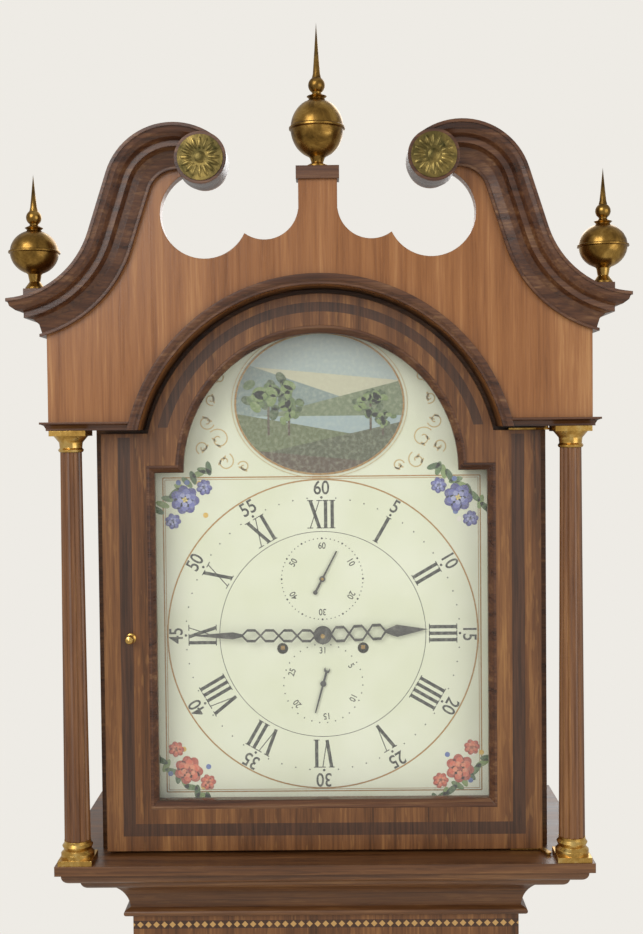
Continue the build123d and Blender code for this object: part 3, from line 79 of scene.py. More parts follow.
def add_node(tree, kind, inputs=None, stops=(), **settings):
    """A shader node with its settings, its values and its links. Stops are the positions
    and hex colours of a colour ramp."""
    made = tree.nodes.new(kind)
    for name, value in settings.items():
        setattr(made, name, value)
    for name, value in (inputs or {}).items():
        if isinstance(value, bpy.types.NodeSocket):
            tree.links.new(value, made.inputs[name])
        else:
            made.inputs[name].default_value = value
    if stops:
        elements = made.color_ramp.elements
        while len(elements) < len(stops):
            elements.new(0.5)
        for element, (place, code) in zip(elements, stops):
            element.position = place
            element.color = colour(code)
    return made


def blank(name):
    """An empty material and its node tree."""
    made = bpy.data.materials.new(name)
    made.use_nodes = True
    made.node_tree.nodes.clear()
    return made, made.node_tree


floor_sheet = bmesh.new()
bmesh.ops.create_circle(floor_sheet, cap_ends=True, segments=96, radius=2.9)
floor = bpy.data.objects.new("floor", bpy.data.meshes.new("floor"))
floor_sheet.to_mesh(floor.data)
bpy.context.scene.collection.objects.link(floor)
floor_paint, tree = blank("floor_paint")
spread = add_node(tree, "ShaderNodeTexCoord")
cloudy = add_node(
    tree, "ShaderNodeTexNoise", {"Vector": spread.outputs["Object"], "Scale": 3.0, "Detail": 4.0}
)
grey = add_node(
    tree,
    "ShaderNodeValToRGB",
    {"Fac": cloudy.outputs["Fac"]},
    stops=((0.3, "#D9D6CF"), (0.7, "#E2DFD9")),
)
matt = add_node(
    tree, "ShaderNodeBsdfPrincipled", {"Base Color": grey.outputs["Color"], "Roughness": 0.8}
)
add_node(tree, "ShaderNodeOutputMaterial", {"Surface": matt.outputs["BSDF"]})
floor.data.materials.append(floor_paint)

world = bpy.data.worlds.new("studio")
bpy.context.scene.world = world
world.use_nodes = True
tree = world.node_tree
tree.nodes.clear()
rays = add_node(tree, "ShaderNodeLightPath")
seen = add_node(
    tree,
    "ShaderNodeMath",
    {0: rays.outputs["Is Camera Ray"], 1: rays.outputs["Is Transmission Ray"]},
    operation="MAXIMUM",
)
even = add_node(tree, "ShaderNodeBackground", {"Color": colour("#F4F1EC"), "Strength": 0.58})
pale = add_node(tree, "ShaderNodeBackground", {"Color": colour("#EEEBE5"), "Strength": 1.0})
joined = add_node(
    tree, "ShaderNodeMixShader", {0: seen.outputs[0], 1: even.outputs[0], 2: pale.outputs[0]}
)
add_node(tree, "ShaderNodeOutputWorld", {"Surface": joined.outputs[0]})
for name, place, size, power in (
    ("key", (-1.3, -2.3, 3.1), 1.6, 40),
    ("fill", (1.8, -1.9, 1.9), 1.8, 17),
    ("rear", (0.6, 2.2, 3.0), 1.8, 22),
):
    lamp = bpy.data.objects.new(name, bpy.data.lights.new(name, "AREA"))
    lamp.data.size = size
    lamp.data.energy = power
    lamp.location = place
    lamp.rotation_mode = "QUATERNION"
    lamp.rotation_quaternion = (Vector((0, 0, 1.6)) - Vector(place)).to_track_quat("-Z", "Y")
    bpy.context.scene.collection.objects.link(lamp)


# Case boards: quarter-sawn oak under old wax and varnish, with open pores and ray fleck. The
# swan necks, cornices, architrave and columns are mahogany, darker and closer in the grain.
pores, streaks = 420, 14  # per metre: pores 2.4 mm apart, in streaks some 70 mm long
figure_share = 0.09  # the broad figure is about eleven times as coarse as the pores
arch_centre = 1.857  # height of the centre of the door's arch


def dress(material, *names):
    """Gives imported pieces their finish."""
    for name in names:
        nodes[name].data.materials.clear()
        nodes[name].data.materials.append(material)


def wood(name, tones, along, fleck, gloss, bands=()):
    """Planed and polished wood with its grain along one axis: dark pores, a broad figure and
    an uneven gloss. Bands are strips of dark crossbanding, each a list of axis, middle and
    half width."""
    made, tree = blank(name)
    where = add_node(tree, "ShaderNodeTexCoord").outputs["Object"]
    stretch = {"X": (streaks, pores, pores), "Z": (pores, pores, streaks)}[along]
    fine_at = add_node(tree, "ShaderNodeMapping", {"Vector": where, "Scale": stretch})
    fine = add_node(
        tree,
        "ShaderNodeTexNoise",
        {
            "Vector": fine_at.outputs[0],
            "Scale": 1.0,
            "Detail": 5.0,
            "Roughness": 0.65,
            "Distortion": 0.5,
        },
    )
    broad_at = add_node(
        tree,
        "ShaderNodeMapping",
        {
            "Vector": where,
            "Scale": tuple(s * figure_share for s in stretch),
            "Location": (3.1, 1.7, 0.4),
        },
    )
    broad = add_node(
        tree,
        "ShaderNodeTexNoise",
        {
            "Vector": broad_at.outputs[0],
            "Scale": 1.0,
            "Detail": 4.0,
            "Roughness": 0.55,
            "Distortion": 1.6,
        },
    )
    blended = add_node(
        tree,
        "ShaderNodeMix",
        {0: 0.55, 2: fine.outputs["Fac"], 3: broad.outputs["Fac"]},
        data_type="FLOAT",
    )
    places = (0.34, 0.47, 0.56, 0.68)
    shade = add_node(
        tree, "ShaderNodeValToRGB", {"Fac": blended.outputs[0]}, stops=tuple(zip(places, tones))
    ).outputs["Color"]
    if fleck:
        ray_at = add_node(
            tree,
            "ShaderNodeMapping",
            {"Vector": where, "Scale": tuple(s * 0.55 + 30 for s in stretch)},
        )
        rays = add_node(
            tree, "ShaderNodeTexNoise", {"Vector": ray_at.outputs[0], "Scale": 1.0, "Detail": 2.0}
        )
        edge = add_node(
            tree, "ShaderNodeMapRange", {0: rays.outputs["Fac"], 1: 0.6, 2: 0.68, 3: 0.0, 4: fleck}
        )
        shade = add_node(
            tree,
            "ShaderNodeMix",
            {0: edge.outputs[0], 6: shade, 7: colour(tones[-1])},
            data_type="RGBA",
        ).outputs[2]
    if bands:
        axes = add_node(tree, "ShaderNodeSeparateXYZ", {0: where})
        across = add_node(
            tree, "ShaderNodeMath", {0: axes.outputs["X"]}, operation="ABSOLUTE"
        ).outputs[0]
        rise = add_node(
            tree, "ShaderNodeMath", {0: axes.outputs["Z"], 1: arch_centre}, operation="SUBTRACT"
        ).outputs[0]
        square = add_node(
            tree, "ShaderNodeMath", {0: rise, 1: rise}, operation="MULTIPLY"
        ).outputs[0]
        squares = add_node(
            tree, "ShaderNodeMath", {0: across, 1: across, 2: square}, operation="MULTIPLY_ADD"
        ).outputs[0]
        reach = add_node(
            tree, "ShaderNodeMath", {0: squares, 1: 0.5}, operation="POWER"
        ).outputs[0]
        measures = {"x": across, "z": axes.outputs["Z"], "arch": reach}
        for strip in bands:
            mask = None
            for axis, middle, half in strip:
                inside = add_node(
                    tree,
                    "ShaderNodeMath",
                    {0: measures[axis], 1: middle, 2: half},
                    operation="COMPARE",
                ).outputs[0]
                mask = inside if mask is None else add_node(
                    tree, "ShaderNodeMath", {0: mask, 1: inside}, operation="MULTIPLY"
                ).outputs[0]
            dark = add_node(
                tree,
                "ShaderNodeValToRGB",
                {"Fac": fine.outputs["Fac"]},
                stops=((0.35, "#352012"), (0.65, "#563621")),
            ).outputs["Color"]
            shade = add_node(
                tree, "ShaderNodeMix", {0: mask, 6: shade, 7: dark}, data_type="RGBA"
            ).outputs[2]
    worn = add_node(
        tree,
        "ShaderNodeMapRange",
        {0: broad.outputs["Fac"], 1: 0.3, 2: 0.7, 3: gloss, 4: gloss + 0.16},
    )
    eased = add_node(tree, "ShaderNodeBevel", {"Radius": 0.0012}, samples=4)
    relief = add_node(
        tree,
        "ShaderNodeBump",
        {
            "Height": fine.outputs["Fac"],
            "Strength": 0.35,
            "Distance": 0.0004,
            "Normal": eased.outputs[0],
        },
    )
    skin = add_node(
        tree,
        "ShaderNodeBsdfPrincipled",
        {
            "Base Color": shade,
            "Roughness": worn.outputs[0],
            "Normal": relief.outputs[0],
            "Coat Weight": 0.25,
            "Coat Roughness": 0.25,
        },
    )
    add_node(tree, "ShaderNodeOutputMaterial", {"Surface": skin.outputs[0]})
    return made


oak = ("#42260F", "#68401F", "#7B4F28", "#9C6E3C")
dark_wood = ("#29150C", "#4A2A17", "#603B21", "#84603E")
case_oak = wood("waxed_oak", oak, "Z", 0.35, 0.36)
rail_oak = wood("waxed_oak_moulding", ("#381F0F", "#5C391D", "#6F4827", "#8F653A"), "X", 0.2, 0.3)
dress(
    case_oak,
    "trunk_sides",
    "base_panels",
    "hood_sides",
    "frieze_sides",
    "hood_roof",
    "hood_soffit",
)
dress(
    wood("rough_oak_board", ("#5A3A22", "#7C5535", "#8E6743", "#A27B55"), "Z", 0, 0.6),
    "backboard",
    "seatboard",
)
dress(
    rail_oak,
    "hood_base_moulding",
    "throat_moulding",
    "waist_moulding",
    "plinth_skirting",
    "hood_front_frame",
)
mahogany = wood("polished_mahogany", dark_wood, "X", 0, 0.24)
dress(
    mahogany,
    "architrave_moulding",
    "swan_necks",
    "side_cornices",
    "scroll_roundels",
    "finial_plinths",
    "glazing_moulding",
)
dress(
    wood("turned_mahogany", ("#42240F", "#6A4222", "#7D522D", "#9F7143"), "Z", 0, 0.28),
    "hood_columns",
)

# Pediment board: one wide board, fretted along its top edge, veneered with warm
# straight-grained mahogany and polished.
dress(
    wood("frieze_veneer", ("#774822", "#8E5A2E", "#9A6536", "#B17E4B"), "Z", 0, 0.24),
    "frieze_board",
)

# Hood door: an arched oak frame round the glass, with a strip of dark crossbanding down
# each stile, along the rail and round the arch.
stile_band = [("x", 0.187, 0.006), ("z", 1.705, 0.186)]
rail_band = [("x", 0.0, 0.193), ("z", 1.5135, 0.006)]
arch_band = [("arch", 0.156, 0.0045), ("z", 1.990, 0.090)]
dress(
    wood("crossbanded_door_oak", oak, "Z", 0.35, 0.32, (stile_band, rail_band, arch_band)),
    "hood_door_frame",
)

# Trunk: an oak front frame with a band of light lozenges inlaid under the throat, and an
# oak door with a border of dark crossbanding.
inlay_height, inlay_half = 1.407, 0.004
trunk_oak = wood("inlaid_trunk_oak", oak, "Z", 0.35, 0.36, ([("z", inlay_height, inlay_half)],))
tree = trunk_oak.node_tree
skin = next(n for n in tree.nodes if n.type == "BSDF_PRINCIPLED")
under = skin.inputs["Base Color"].links[0].from_socket
axes = add_node(
    tree, "ShaderNodeSeparateXYZ", {0: add_node(tree, "ShaderNodeTexCoord").outputs["Object"]}
)
step = add_node(
    tree, "ShaderNodeMath", {0: axes.outputs["X"], 1: inlay_half}, operation="PINGPONG"
)
rise = add_node(
    tree, "ShaderNodeMath", {0: axes.outputs["Z"], 1: inlay_height}, operation="SUBTRACT"
)
lift = add_node(tree, "ShaderNodeMath", {0: rise.outputs[0]}, operation="ABSOLUTE")
total = add_node(tree, "ShaderNodeMath", {0: step.outputs[0], 1: lift.outputs[0]})
lozenge = add_node(
    tree, "ShaderNodeMath", {0: total.outputs[0], 1: inlay_half * 0.8}, operation="LESS_THAN"
)
chequered = add_node(
    tree,
    "ShaderNodeMix",
    {0: lozenge.outputs[0], 6: under, 7: colour("#C49A5C")},
    data_type="RGBA",
)
tree.links.new(chequered.outputs[2], skin.inputs["Base Color"])
dress(trunk_oak, "trunk_frame")
door_strips = (
    [("x", 0.128, 0.009), ("z", 0.985, 0.355)],
    [("x", 0.0, 0.137), ("z", 1.331, 0.009)],
    [("x", 0.0, 0.137), ("z", 0.639, 0.009)],
)
dress(wood("trunk_door_oak", oak, "Z", 0.4, 0.34, door_strips), "trunk_door")


# Metalwork: spun, cast and stamped brass, gone brown in the hollows, the bell's grey bronze,
# and steel, grey with age on the hands and dark on the pallets and the hammer.
tarnish, polish = 55.0, 900.0  # per metre: clouds some 18 mm across, marks 1 mm apart


def metal(name, tones, rough):
    """Old metal: clouds of tarnish dull it in patches, over fine polishing marks."""
    made, tree = blank(name)
    where = add_node(tree, "ShaderNodeTexCoord").outputs["Object"]
    cloud = add_node(
        tree,
        "ShaderNodeTexNoise",
        {"Vector": where, "Scale": tarnish, "Detail": 5.0, "Roughness": 0.7, "Distortion": 0.6},
    )
    marks = add_node(tree, "ShaderNodeTexNoise", {"Vector": where, "Scale": polish, "Detail": 2.0})
    places = (0.3, 0.5, 0.68)
    shade = add_node(
        tree, "ShaderNodeValToRGB", {"Fac": cloud.outputs["Fac"]}, stops=tuple(zip(places, tones))
    ).outputs["Color"]
    worn = add_node(
        tree,
        "ShaderNodeMapRange",
        {0: cloud.outputs["Fac"], 1: 0.3, 2: 0.7, 3: rough + 0.15, 4: rough},
    )
    eased = add_node(tree, "ShaderNodeBevel", {"Radius": 0.0005}, samples=4)
    relief = add_node(
        tree,
        "ShaderNodeBump",
        {
            "Height": marks.outputs["Fac"],
            "Strength": 0.2,
            "Distance": 0.0001,
            "Normal": eased.outputs[0],
        },
    )
    skin = add_node(
        tree,
        "ShaderNodeBsdfPrincipled",
        {
            "Base Color": shade,
            "Metallic": 1.0,
            "Roughness": worn.outputs[0],
            "Normal": relief.outputs[0],
        },
    )
    add_node(tree, "ShaderNodeOutputMaterial", {"Surface": skin.outputs[0]})
    return made


aged_brass = metal("aged_spun_brass", ("#4C3719", "#8C6B34", "#BC9853"), 0.22)
dull_brass = metal("stamped_brass", ("#38361F", "#71633A", "#A68F52"), 0.3)
bright_brass = metal("polished_brass", ("#8E6A30", "#C9A055", "#E6C983"), 0.2)
dress(
    bright_brass,
    "column_brasses",
    "hood_door_fittings",
    "trunk_door_fittings",
    "trunk_hinge_leaves",
    "movement_plates",
    "centre_arbor",
    "minute_wheel",
    "hour_wheel",
    "third_arbor",
    "escape_arbor",
    "going_great_wheel",
    "going_barrel",
    "strike_barrel",
    "pin_wheel",
    "going_pulley",
    "strike_pulley",
)
dress(aged_brass, "going_weight", "strike_weight", "pendulum")
dress(metal("bell_metal", ("#6D6350", "#958A72", "#B8AD93"), 0.3), "bell")
dress(
    metal("old_hand_steel", ("#2C2B29", "#555350", "#86847E"), 0.32),
    "minute_hand",
    "hour_hand",
    "seconds_hand",
)
dress(
    metal("dark_steel", ("#2B2B2D", "#4A4A4C", "#6A6A6B"), 0.35), "date_hand", "pallets", "hammer"
)


# Finials: hollow balls of spun brass, each made in two halves that meet in a rim, with a
# small upper ball and a spire. One stands on the middle plinth and one over each corner.
def keep_mesh(name, mesh, body, material, smooth=True):
    """Turns a finished bmesh into a piece that rides on a body."""
    made = bpy.data.objects.new(name, bpy.data.meshes.new(name))
    mesh.to_mesh(made.data)
    mesh.free()
    made.data.materials.append(material)
    if smooth:
        made.data.shade_smooth()
        made.data.set_sharp_from_angle(angle=math.radians(32))
    bpy.context.scene.collection.objects.link(made)
    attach(made, body)
    return made


foot_edge, collar = 0.0015, 0.0045
rim_out, rim_half = 0.0015, 0.0008
spun = bmesh.new()
for x, y, seat, foot, tall, ball, spire in (
    (0.0, -0.097, 2.140, 0.0084, 0.0546, 0.0246, 0.133),
    (-0.261, -0.112, 2.0285, 0.0135, 0.0405, 0.022, 0.105),
    (0.261, -0.112, 2.0285, 0.0135, 0.0405, 0.022, 0.105),
):
    rim, top, neck, bead = seat + foot + tall / 2, seat + foot + tall, 0.28 * ball, 0.32 * ball
    lower = [(math.cos(math.radians(a)), -math.sin(math.radians(a))) for a in range(70, 3, -6)]
    line = [
        (0, seat),
        (0.4 * ball, seat),
        (0.4 * ball, seat + foot_edge),
        (neck * 0.8, seat + foot * 0.5),
        (neck, seat + foot),
    ]
    line += [(ball * c, rim + tall / 2 * s) for c, s in lower]
    line += [(ball + rim_out, rim - rim_half), (ball + rim_out, rim + rim_half)]
    line += [(ball * c, rim - tall / 2 * s) for c, s in reversed(lower)]
    line += [(neck, top), (0.38 * ball, top + 0.002), (neck * 0.6, top + collar)]
    middle = top + collar + bead
    turns = [math.radians(a) for a in range(-55, 56, 11)]
    line += [(bead * math.cos(a), middle + bead * math.sin(a)) for a in turns]
    line += [
        (neck * 0.6, top + collar + 2 * bead),
        (0.14 * ball, top + 0.007 + 2 * bead),
        (0, seat + spire),
    ]
    verts = [spun.verts.new((x + r, y, z)) for r, z in line]
    edges = [spun.edges.new(pair) for pair in zip(verts, verts[1:])]
    bmesh.ops.spin(
        spun,
        geom=verts + edges,
        cent=(x, y, 0),
        axis=(0, 0, 1),
        angle=math.tau,
        steps=48,
        use_merge=True,
    )
bmesh.ops.remove_doubles(spun, verts=spun.verts, dist=0.00001)
bmesh.ops.recalc_face_normals(spun, faces=spun.faces)
finials = keep_mesh("spun_finials", spun, "hood", aged_brass)
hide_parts("finials")

# Rosettes: discs of stamped brass with sixteen petals round a raised eye, one on the face
# of each roundel.
petals, disc, eye, petal_reach = 16, 0.0206, 0.0055, 0.0128
roundel_out, roundel_face, roundel_height = 0.105, -0.1365, 2.1422
stamped = bmesh.new()
for x in (-roundel_out, roundel_out):
    centre = Vector((x, roundel_face, roundel_height))
    face_on = Matrix.Translation(centre) @ Matrix.Rotation(math.pi / 2, 4, "X")
    bmesh.ops.create_cone(
        stamped,
        cap_ends=True,
        segments=64,
        radius1=disc,
        radius2=disc,
        depth=0.001,
        matrix=face_on,
    )
    bmesh.ops.create_uvsphere(
        stamped,
        u_segments=20,
        v_segments=10,
        radius=eye,
        matrix=face_on @ Matrix.Diagonal((1, 1, 0.27, 1)),
    )
    for petal in range(petals):
        turn = Matrix.Rotation(petal * math.tau / petals, 4, "Z")
        shape = Matrix.Translation((petal_reach, 0, 0)) @ Matrix.Diagonal(
            (0.0058, 0.0021, 0.0013, 1)
        )
        bmesh.ops.create_uvsphere(
            stamped, u_segments=12, v_segments=8, radius=1, matrix=face_on @ turn @ shape
        )
rosettes = keep_mesh("stamped_rosettes", stamped, "hood", dull_brass)
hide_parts("brass_rosettes")

# Glass of the door: old crown glass, thin, almost clear and slightly wavy, set in the
# arched frame.
crown_glass, tree = blank("crown_glass")
where = add_node(tree, "ShaderNodeTexCoord").outputs["Object"]
waves = add_node(tree, "ShaderNodeTexNoise", {"Vector": where, "Scale": 14.0, "Detail": 1.0})
relief = add_node(
    tree, "ShaderNodeBump", {"Height": waves.outputs["Fac"], "Strength": 0.1, "Distance": 0.001}
)
skin = add_node(
    tree,
    "ShaderNodeBsdfPrincipled",
    {
        "Base Color": colour("#F4F7F2"),
        "Roughness": 0.03,
        "Alpha": 0.07,
        "Normal": relief.outputs[0],
    },
)
add_node(tree, "ShaderNodeOutputMaterial", {"Surface": skin.outputs[0]})
dress(crown_glass, "hood_door_glass")

# Gut lines: two falls of twisted gut to the pulley of each weight. They wind on the barrels
# above as the weights rise, so each shortens towards its top.
line_out, line_depth, line_top = 0.0397, 0.029, 1.603
gut, tree = blank("twisted_gut")
where = add_node(tree, "ShaderNodeTexCoord").outputs["Object"]
twist_at = add_node(
    tree,
    "ShaderNodeMapping",
    {"Vector": where, "Scale": (300.0, 300.0, 700.0), "Rotation": (0.5, 0.2, 0)},
)
twist = add_node(
    tree, "ShaderNodeTexNoise", {"Vector": twist_at.outputs[0], "Scale": 1.0, "Detail": 2.0}
)
relief = add_node(
    tree, "ShaderNodeBump", {"Height": twist.outputs["Fac"], "Strength": 0.5, "Distance": 0.0003}
)
tan = add_node(
    tree,
    "ShaderNodeValToRGB",
    {"Fac": twist.outputs["Fac"]},
    stops=((0.3, "#7E6238"), (0.7, "#BFA36B")),
)
skin = add_node(
    tree,
    "ShaderNodeBsdfPrincipled",
    {
        "Base Color": tan.outputs["Color"],
        "Roughness": 0.55,
        "Normal": relief.outputs[0],
    },
)
add_node(tree, "ShaderNodeOutputMaterial", {"Surface": skin.outputs[0]})
dress(gut, "line_ends")
for node_name, x, joint in (
    ("going_line", line_out, "going_lift"),
    ("strike_line", -line_out, "strike_lift"),
):
    strands = bmesh.new()
    strands.from_mesh(nodes[node_name].data)
    bmesh.ops.remove_doubles(strands, verts=strands.verts, dist=0.00001)
    line = keep_mesh(node_name + "_gut", strands, "case", gut, smooth=False)
    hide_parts(node_name)
    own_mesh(line)

# Dial: sheet iron, painted a pale greenish cream and baked, with a fine crackle in the
# glaze. It stands on feet in front of the movement.
enamel, tree = blank("dial_enamel")
where = add_node(tree, "ShaderNodeTexCoord").outputs["Object"]
cloud = add_node(tree, "ShaderNodeTexNoise", {"Vector": where, "Scale": 16.0, "Detail": 4.0})
cracks = add_node(
    tree, "ShaderNodeTexVoronoi", {"Vector": where, "Scale": 130.0}, feature="DISTANCE_TO_EDGE"
)
fine = add_node(
    tree, "ShaderNodeMapRange", {0: cracks.outputs["Distance"], 1: 0.0, 2: 0.03, 3: 0.0, 4: 1.0}
)
relief = add_node(
    tree, "ShaderNodeBump", {"Height": fine.outputs[0], "Strength": 0.08, "Distance": 0.0001}
)
cream = add_node(
    tree,
    "ShaderNodeValToRGB",
    {"Fac": cloud.outputs["Fac"]},
    stops=((0.3, "#E4E9CB"), (0.7, "#EEF2DB")),
)
skin = add_node(
    tree,
    "ShaderNodeBsdfPrincipled",
    {
        "Base Color": cream.outputs["Color"],
        "Roughness": 0.34,
        "Normal": relief.outputs[0],
    },
)
add_node(tree, "ShaderNodeOutputMaterial", {"Surface": skin.outputs[0]})
dress(enamel, "dial_plate")

# Painting on the dial, laid on by hand in thin coats: black figures, gilt lines, corner
# sprays and a small landscape in the arch. Each colour is a thin skin of its own.
dial = Vector((0, 0, 1.695))
dial_face, coat_step = -0.042, 0.00008  # each coat lies a hair in front of the last
skins = {}


def brush(code):
    """The skin of one colour."""
    return skins.setdefault(code, bmesh.new())


def stroke(code, start, end, width, coat=1):
    """A straight stroke between two points of the dial, given as x and z."""
    along = Vector((end[0] - start[0], 0, end[1] - start[1]))
    side = along.cross(Vector((0, 1, 0))).normalized() * width
    place = Matrix((side, along, Vector((0, -1, 0)))).transposed().to_4x4()
    place.translation = (
        (start[0] + end[0]) / 2, dial_face - coat * coat_step, (start[1] + end[1]) / 2
    )
    bmesh.ops.create_grid(brush(code), x_segments=1, y_segments=1, size=0.5, matrix=place)


def dab(code, x, z, wide, tall=None, turn=0.0, coat=1, segments=16):
    """A round or oval dab."""
    place = (
        Matrix.Translation((x, dial_face - coat * coat_step, z))
        @ Matrix.Rotation(turn, 4, "Y")
        @ Matrix.Rotation(math.pi / 2, 4, "X")
        @ Matrix.Diagonal((wide, tall or wide, 1, 1))
    )
    bmesh.ops.create_circle(brush(code), cap_ends=True, segments=segments, radius=1, matrix=place)


def ring(code, centre, inner, outer):
    """A full circle line."""
    mesh = brush(code)
    middle = Vector((centre[0], dial_face - coat_step, centre[1]))
    ends = [mesh.verts.new(middle + Vector((r, 0, 0))) for r in (inner, outer)]
    edge = mesh.edges.new(ends)
    bmesh.ops.spin(
        mesh,
        geom=[*ends, edge],
        cent=middle,
        axis=(0, 1, 0),
        angle=math.tau,
        steps=120,
        use_merge=True,
    )


def around(centre, radius, clockwise, aside=0.0):
    """A point by its angle clockwise from the top, and its shift along the circle."""
    a = math.radians(clockwise)
    return (
        centre[0] + radius * math.sin(a) + aside * math.cos(a),
        centre[1] + radius * math.cos(a) - aside * math.sin(a),
    )


black, gilt, pale_gilt = "#1B1A1A", "#B98A45", "#D9BE83"
centre = (dial.x, dial.z)
ring(black, centre, 0.1012, 0.1018)
ring(gilt, centre, 0.1520, 0.1535)

# Hour numerals: each letter has its advance in metres, then its strokes and the places of
# its serifs in millimetres.
thick, thin = 3.3, 0.9
numeral_foot, serif_half, serif = 0.105, 2.9, 0.0009
glyphs = {
    "I": (0.0065, [((3.2, 0), (3.2, 27), thick)], [(3.2, 0), (3.2, 27)]),
    "V": (
        0.0145,
        [((3.0, 27), (7.4, 0), thick), ((11.8, 27), (7.4, 0), thin)],
        [(3.0, 27), (11.8, 27)],
    ),
    "X": (
        0.0145,
        [((2.6, 27), (11.6, 0), thick), ((11.6, 27), (2.6, 0), thin)],
        [(2.6, 0), (11.6, 0), (2.6, 27), (11.6, 27)],
    ),
}
numerals = ("XII", "I", "II", "III", "IIII", "V", "VI", "VII", "VIII", "IX", "X", "XI")
for hour, text in enumerate(numerals):
    left = -sum(glyphs[letter][0] for letter in text) / 2
    for letter in text:
        advance, strokes, feet = glyphs[letter]
        for start, end, width in strokes:
            stroke(
                black,
                around(centre, numeral_foot + start[1] / 1000, hour * 30, left + start[0] / 1000),
                around(centre, numeral_foot + end[1] / 1000, hour * 30, left + end[0] / 1000),
                width / 1000,
            )
        for x, z in feet:
            stroke(
                black,
                around(centre, numeral_foot + z / 1000, hour * 30, left + (x - serif_half) / 1000),
                around(centre, numeral_foot + z / 1000, hour * 30, left + (x + serif_half) / 1000),
                serif,
            )
        left += advance

# Dots of the minutes, the seconds and the days of the month
dot_ring, seconds_ring, month_ring = 0.135, 0.040, 0.039
for minute in range(60):
    dab(
        black,
        *around(centre, dot_ring, minute * 6),
        0.0013 if minute % 5 == 0 else 0.0007,
        segments=10,
    )
seconds, month = (0.0, 1.7498), (0.0, 1.6463)
for tick in range(60):
    dab(
        black, *around(seconds, seconds_ring, tick * 6), 0.0006 if tick % 5 else 0.0010, segments=8
    )
for day in range(31):
    dab(black, *around(month, month_ring, day * 360 / 31), 0.0007, segments=8)


def figure(text, centre, radius, clockwise, tall):
    """A number along a circle, turned with it. Cap share is its height over the font's size."""
    cap_share = 0.72
    letters = bpy.data.curves.new("letters", "FONT")
    letters.body = text
    letters.align_x, letters.align_y = "CENTER", "CENTER"
    letters.size = tall / cap_share
    letters.offset = 0.012 * tall / cap_share
    holder = bpy.data.objects.new("letters", letters)
    bpy.context.scene.collection.objects.link(holder)
    bpy.context.view_layer.update()
    mesh = bpy.data.meshes.new_from_object(holder)
    x, z = around(centre, radius, clockwise)
    mesh.transform(
        Matrix.Translation((x, dial_face - coat_step, z))
        @ Matrix.Rotation(math.radians(clockwise), 4, "Y")
        @ Matrix.Rotation(math.pi / 2, 4, "X")
        @ Matrix.Diagonal((0.85, 1, 1, 1))
    )
    brush(black).from_mesh(mesh)
    bpy.data.objects.remove(holder)
    bpy.data.meshes.remove(mesh)


figure_ring, figure_tall = 0.1440, 0.0136
small_ring, small_tall = 0.0325, 0.0064
for step in range(12):
    figure(str(step * 5 or 60), centre, figure_ring, step * 30, figure_tall)
for step in range(6):
    figure(str(step * 10 or 60), seconds, small_ring, step * 60, small_tall)
for day in (31, 5, 10, 15, 20, 25):
    figure(str(day), month, small_ring, day * 360 / 31, small_tall)

# Double gilt lines round the square
for half, width in ((0.1556, 0.0013), (0.1536, 0.0006)):
    low, high = dial.z - half, dial.z + half
    corners = ((-half, low), (half, low), (half, high), (-half, high), (-half, low))
    for start, end in zip(corners, corners[1:]):
        stroke(gilt, start, end, width)

# Corner sprays: roses below and blue blooms above, among green leaves, with each petal and
# leaf one touch of the brush.
spray_out = 0.134
draw = random.Random(7)


def bloom(x, z, size, petals, coat):
    """A flower of overlapping petals, darker in its heart."""
    for row, (tone, share) in enumerate(petals):
        count = 7 - row
        for n in range(count):
            a = n * math.tau / count + row * 0.4 + draw.uniform(-0.15, 0.15)
            reach = size * share * 0.55
            dab(
                tone,
                x + reach * math.cos(a),
                z + reach * math.sin(a),
                size * share * 0.52,
                size * share * 0.40,
                -a,
                coat + row,
                14,
            )


for sx in (-1, 1):
    for sz in (-1, 1):
        cx, cz = sx * spray_out, dial.z + sz * spray_out
        for n in range(11):
            t = n / 10
            a = math.radians(-50 + 100 * t)
            px = cx + sx * 0.004 - sx * 0.036 * math.sin(a)
            pz = cz + sz * 0.012 * math.cos(a) + (sz * 0.030 * math.sin(a))
            lean = draw.uniform(0, math.pi)
            dab(("#5F7F45", "#47683A", "#86A05B")[n % 3], px, pz, 0.0072, 0.0030, lean, 2, 14)
        for n in range(5):
            dab(
                ("#5C74B4", "#E2B84A", "#F2EFE2")[n % 3],
                cx + draw.uniform(-0.022, 0.022),
                cz + draw.uniform(-0.022, 0.022),
                0.0026,
                coat=3,
                segments=12,
            )
        tones = (("#B84A33", 1.0), ("#E0694A", 0.78), ("#F08E68", 0.5), ("#B84A33", 0.22))
        if sz > 0:
            tones = (("#4D4C93", 1.0), ("#6E72B8", 0.78), ("#A3A8D8", 0.5), ("#E8D27A", 0.2))
        bloom(cx, cz, 0.0135, tones, 4)
        bloom(cx - sx * 0.019, cz + sz * 0.012, 0.0075, tones[:3], 4)
        bloom(cx + sx * 0.012, cz - sz * 0.021, 0.0075, tones[:3], 4)

# Landscape in the arch: a made-up valley with a lake, hills and trees inside a gilt oval,
# laid from the sky forwards.
oval, wide, tall = (-0.001, 1.922), 0.0815, 0.068


def view_band(code, height, slope, coat):
    """The part of the oval that lies under a sloping line."""
    cut = bmesh.new()
    place = (
        Matrix.Translation((oval[0], dial_face - coat * coat_step, oval[1]))
        @ Matrix.Rotation(math.pi / 2, 4, "X")
        @ Matrix.Diagonal((wide, tall, 1, 1))
    )
    bmesh.ops.create_circle(cut, cap_ends=True, segments=72, radius=1, matrix=place)
    bmesh.ops.bisect_plane(
        cut,
        geom=cut.verts[:] + cut.edges[:] + cut.faces[:],
        plane_co=(oval[0], 0, oval[1] + height),
        plane_no=(slope, 0, 1),
        clear_outer=True,
    )
    sheet = bpy.data.meshes.new("band")
    cut.to_mesh(sheet)
    cut.free()
    brush(code).from_mesh(sheet)
    bpy.data.meshes.remove(sheet)


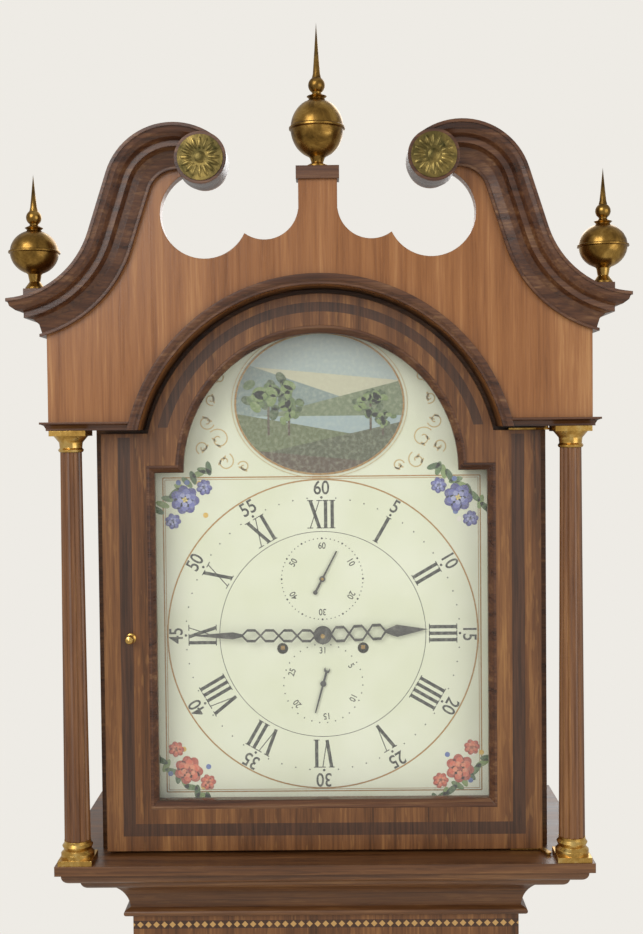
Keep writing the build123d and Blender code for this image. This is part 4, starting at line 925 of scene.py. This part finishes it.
for code, height, slope, coat in (
    ("#A9B8B4", 1.0, 0.0, 1),
    ("#C6C4A6", 0.030, 0.1, 2),
    ("#7F918C", 0.014, 0.35, 3),
    ("#6F7D58", 0.002, -0.25, 4),
    ("#9FB3B4", -0.012, 0.0, 5),
    ("#5F6B3E", -0.024, 0.18, 6),
    ("#4A5030", -0.036, -0.22, 7),
    ("#4E3A22", -0.052, 0.1, 8),
):
    view_band(code, height, slope, coat)

# Trees of the landscape, its gilt oval, and the gilt scrolls beside it
for x, z, size in (
    (-0.050, 0.010, 0.027),
    (-0.030, -0.004, 0.018),
    (0.050, 0.002, 0.019),
    (0.062, -0.012, 0.013),
):
    foot = (oval[0] + x, oval[1] + z - size * 1.5)
    stroke("#4A3620", foot, (oval[0] + x, oval[1] + z), 0.0022, 9)
    for n in range(26):
        a = draw.uniform(0, math.tau)
        r = size * draw.uniform(0.1, 0.85)
        tone = ("#3E5429", "#566F36", "#738A4A")[n % 3]
        dab(
            tone,
            oval[0] + x + r * math.cos(a),
            oval[1] + z + r * math.sin(a) * 0.9,
            size * 0.24,
            size * 0.16,
            a,
            10 + n % 3,
        )
for n in range(72):
    a, b = math.tau * n / 72, math.tau * (n + 1.1) / 72
    for grow, width, code in ((0.001, 0.0018, gilt), (0.0045, 0.0006, pale_gilt)):
        stroke(
            code,
            (oval[0] + (wide + grow) * math.cos(a), oval[1] + (tall + grow) * math.sin(a)),
            (oval[0] + (wide + grow) * math.cos(b), oval[1] + (tall + grow) * math.sin(b)),
            width,
            13,
        )
for sx in (-1, 1):
    for cx, cz, size, first in (
        (0.100, 1.888, 0.011, 40),
        (0.112, 1.905, 0.008, 200),
        (0.094, 1.866, 0.009, 120),
        (0.116, 1.880, 0.007, 300),
        (0.076, 1.861, 0.006, 20),
        (0.107, 1.927, 0.006, 250),
        (0.099, 1.948, 0.005, 90),
    ):
        points = [
            (
                sx * (cx + size * (1 - n / 26) * math.cos(math.radians(first + n * 21))),
                cz + size * (1 - n / 26) * math.sin(math.radians(first + n * 21)),
            )
            for n in range(22)
        ]
        for start, end in zip(points, points[1:]):
            stroke(pale_gilt, start, end, 0.0013)
            if start == points[10] or start == points[14]:
                dab(pale_gilt, *end, 0.0030, 0.0012, math.radians(first), 1, 10)

# Paint: oil colour, thin enough that the cream shows through it in streaks, and gilt with
# some metal in it.
for code, mesh in sorted(skins.items()):
    for face in mesh.faces:
        face.normal_update()
        if face.normal.y > 0:
            face.normal_flip()
    paint, tree = blank("dial_paint_" + code[1:])
    where = add_node(tree, "ShaderNodeTexCoord").outputs["Object"]
    streak = add_node(tree, "ShaderNodeTexNoise", {"Vector": where, "Scale": 260.0, "Detail": 3.0})
    glaze = add_node(
        tree, "ShaderNodeMix", {6: colour(code), 7: colour("#E6EBCB")}, data_type="RGBA"
    )
    weight = add_node(
        tree, "ShaderNodeMapRange", {0: streak.outputs["Fac"], 1: 0.45, 2: 0.75, 3: 0.0, 4: 0.22}
    )
    tree.links.new(weight.outputs[0], glaze.inputs[0])
    skin = add_node(
        tree,
        "ShaderNodeBsdfPrincipled",
        {
            "Base Color": glaze.outputs[2],
            "Roughness": 0.36,
            "Metallic": 0.5 if code in (gilt, pale_gilt) else 0.0,
        },
    )
    add_node(tree, "ShaderNodeOutputMaterial", {"Surface": skin.outputs[0]})
    keep_mesh("dial_paint_" + code[1:], mesh, "case", paint, smooth=False)
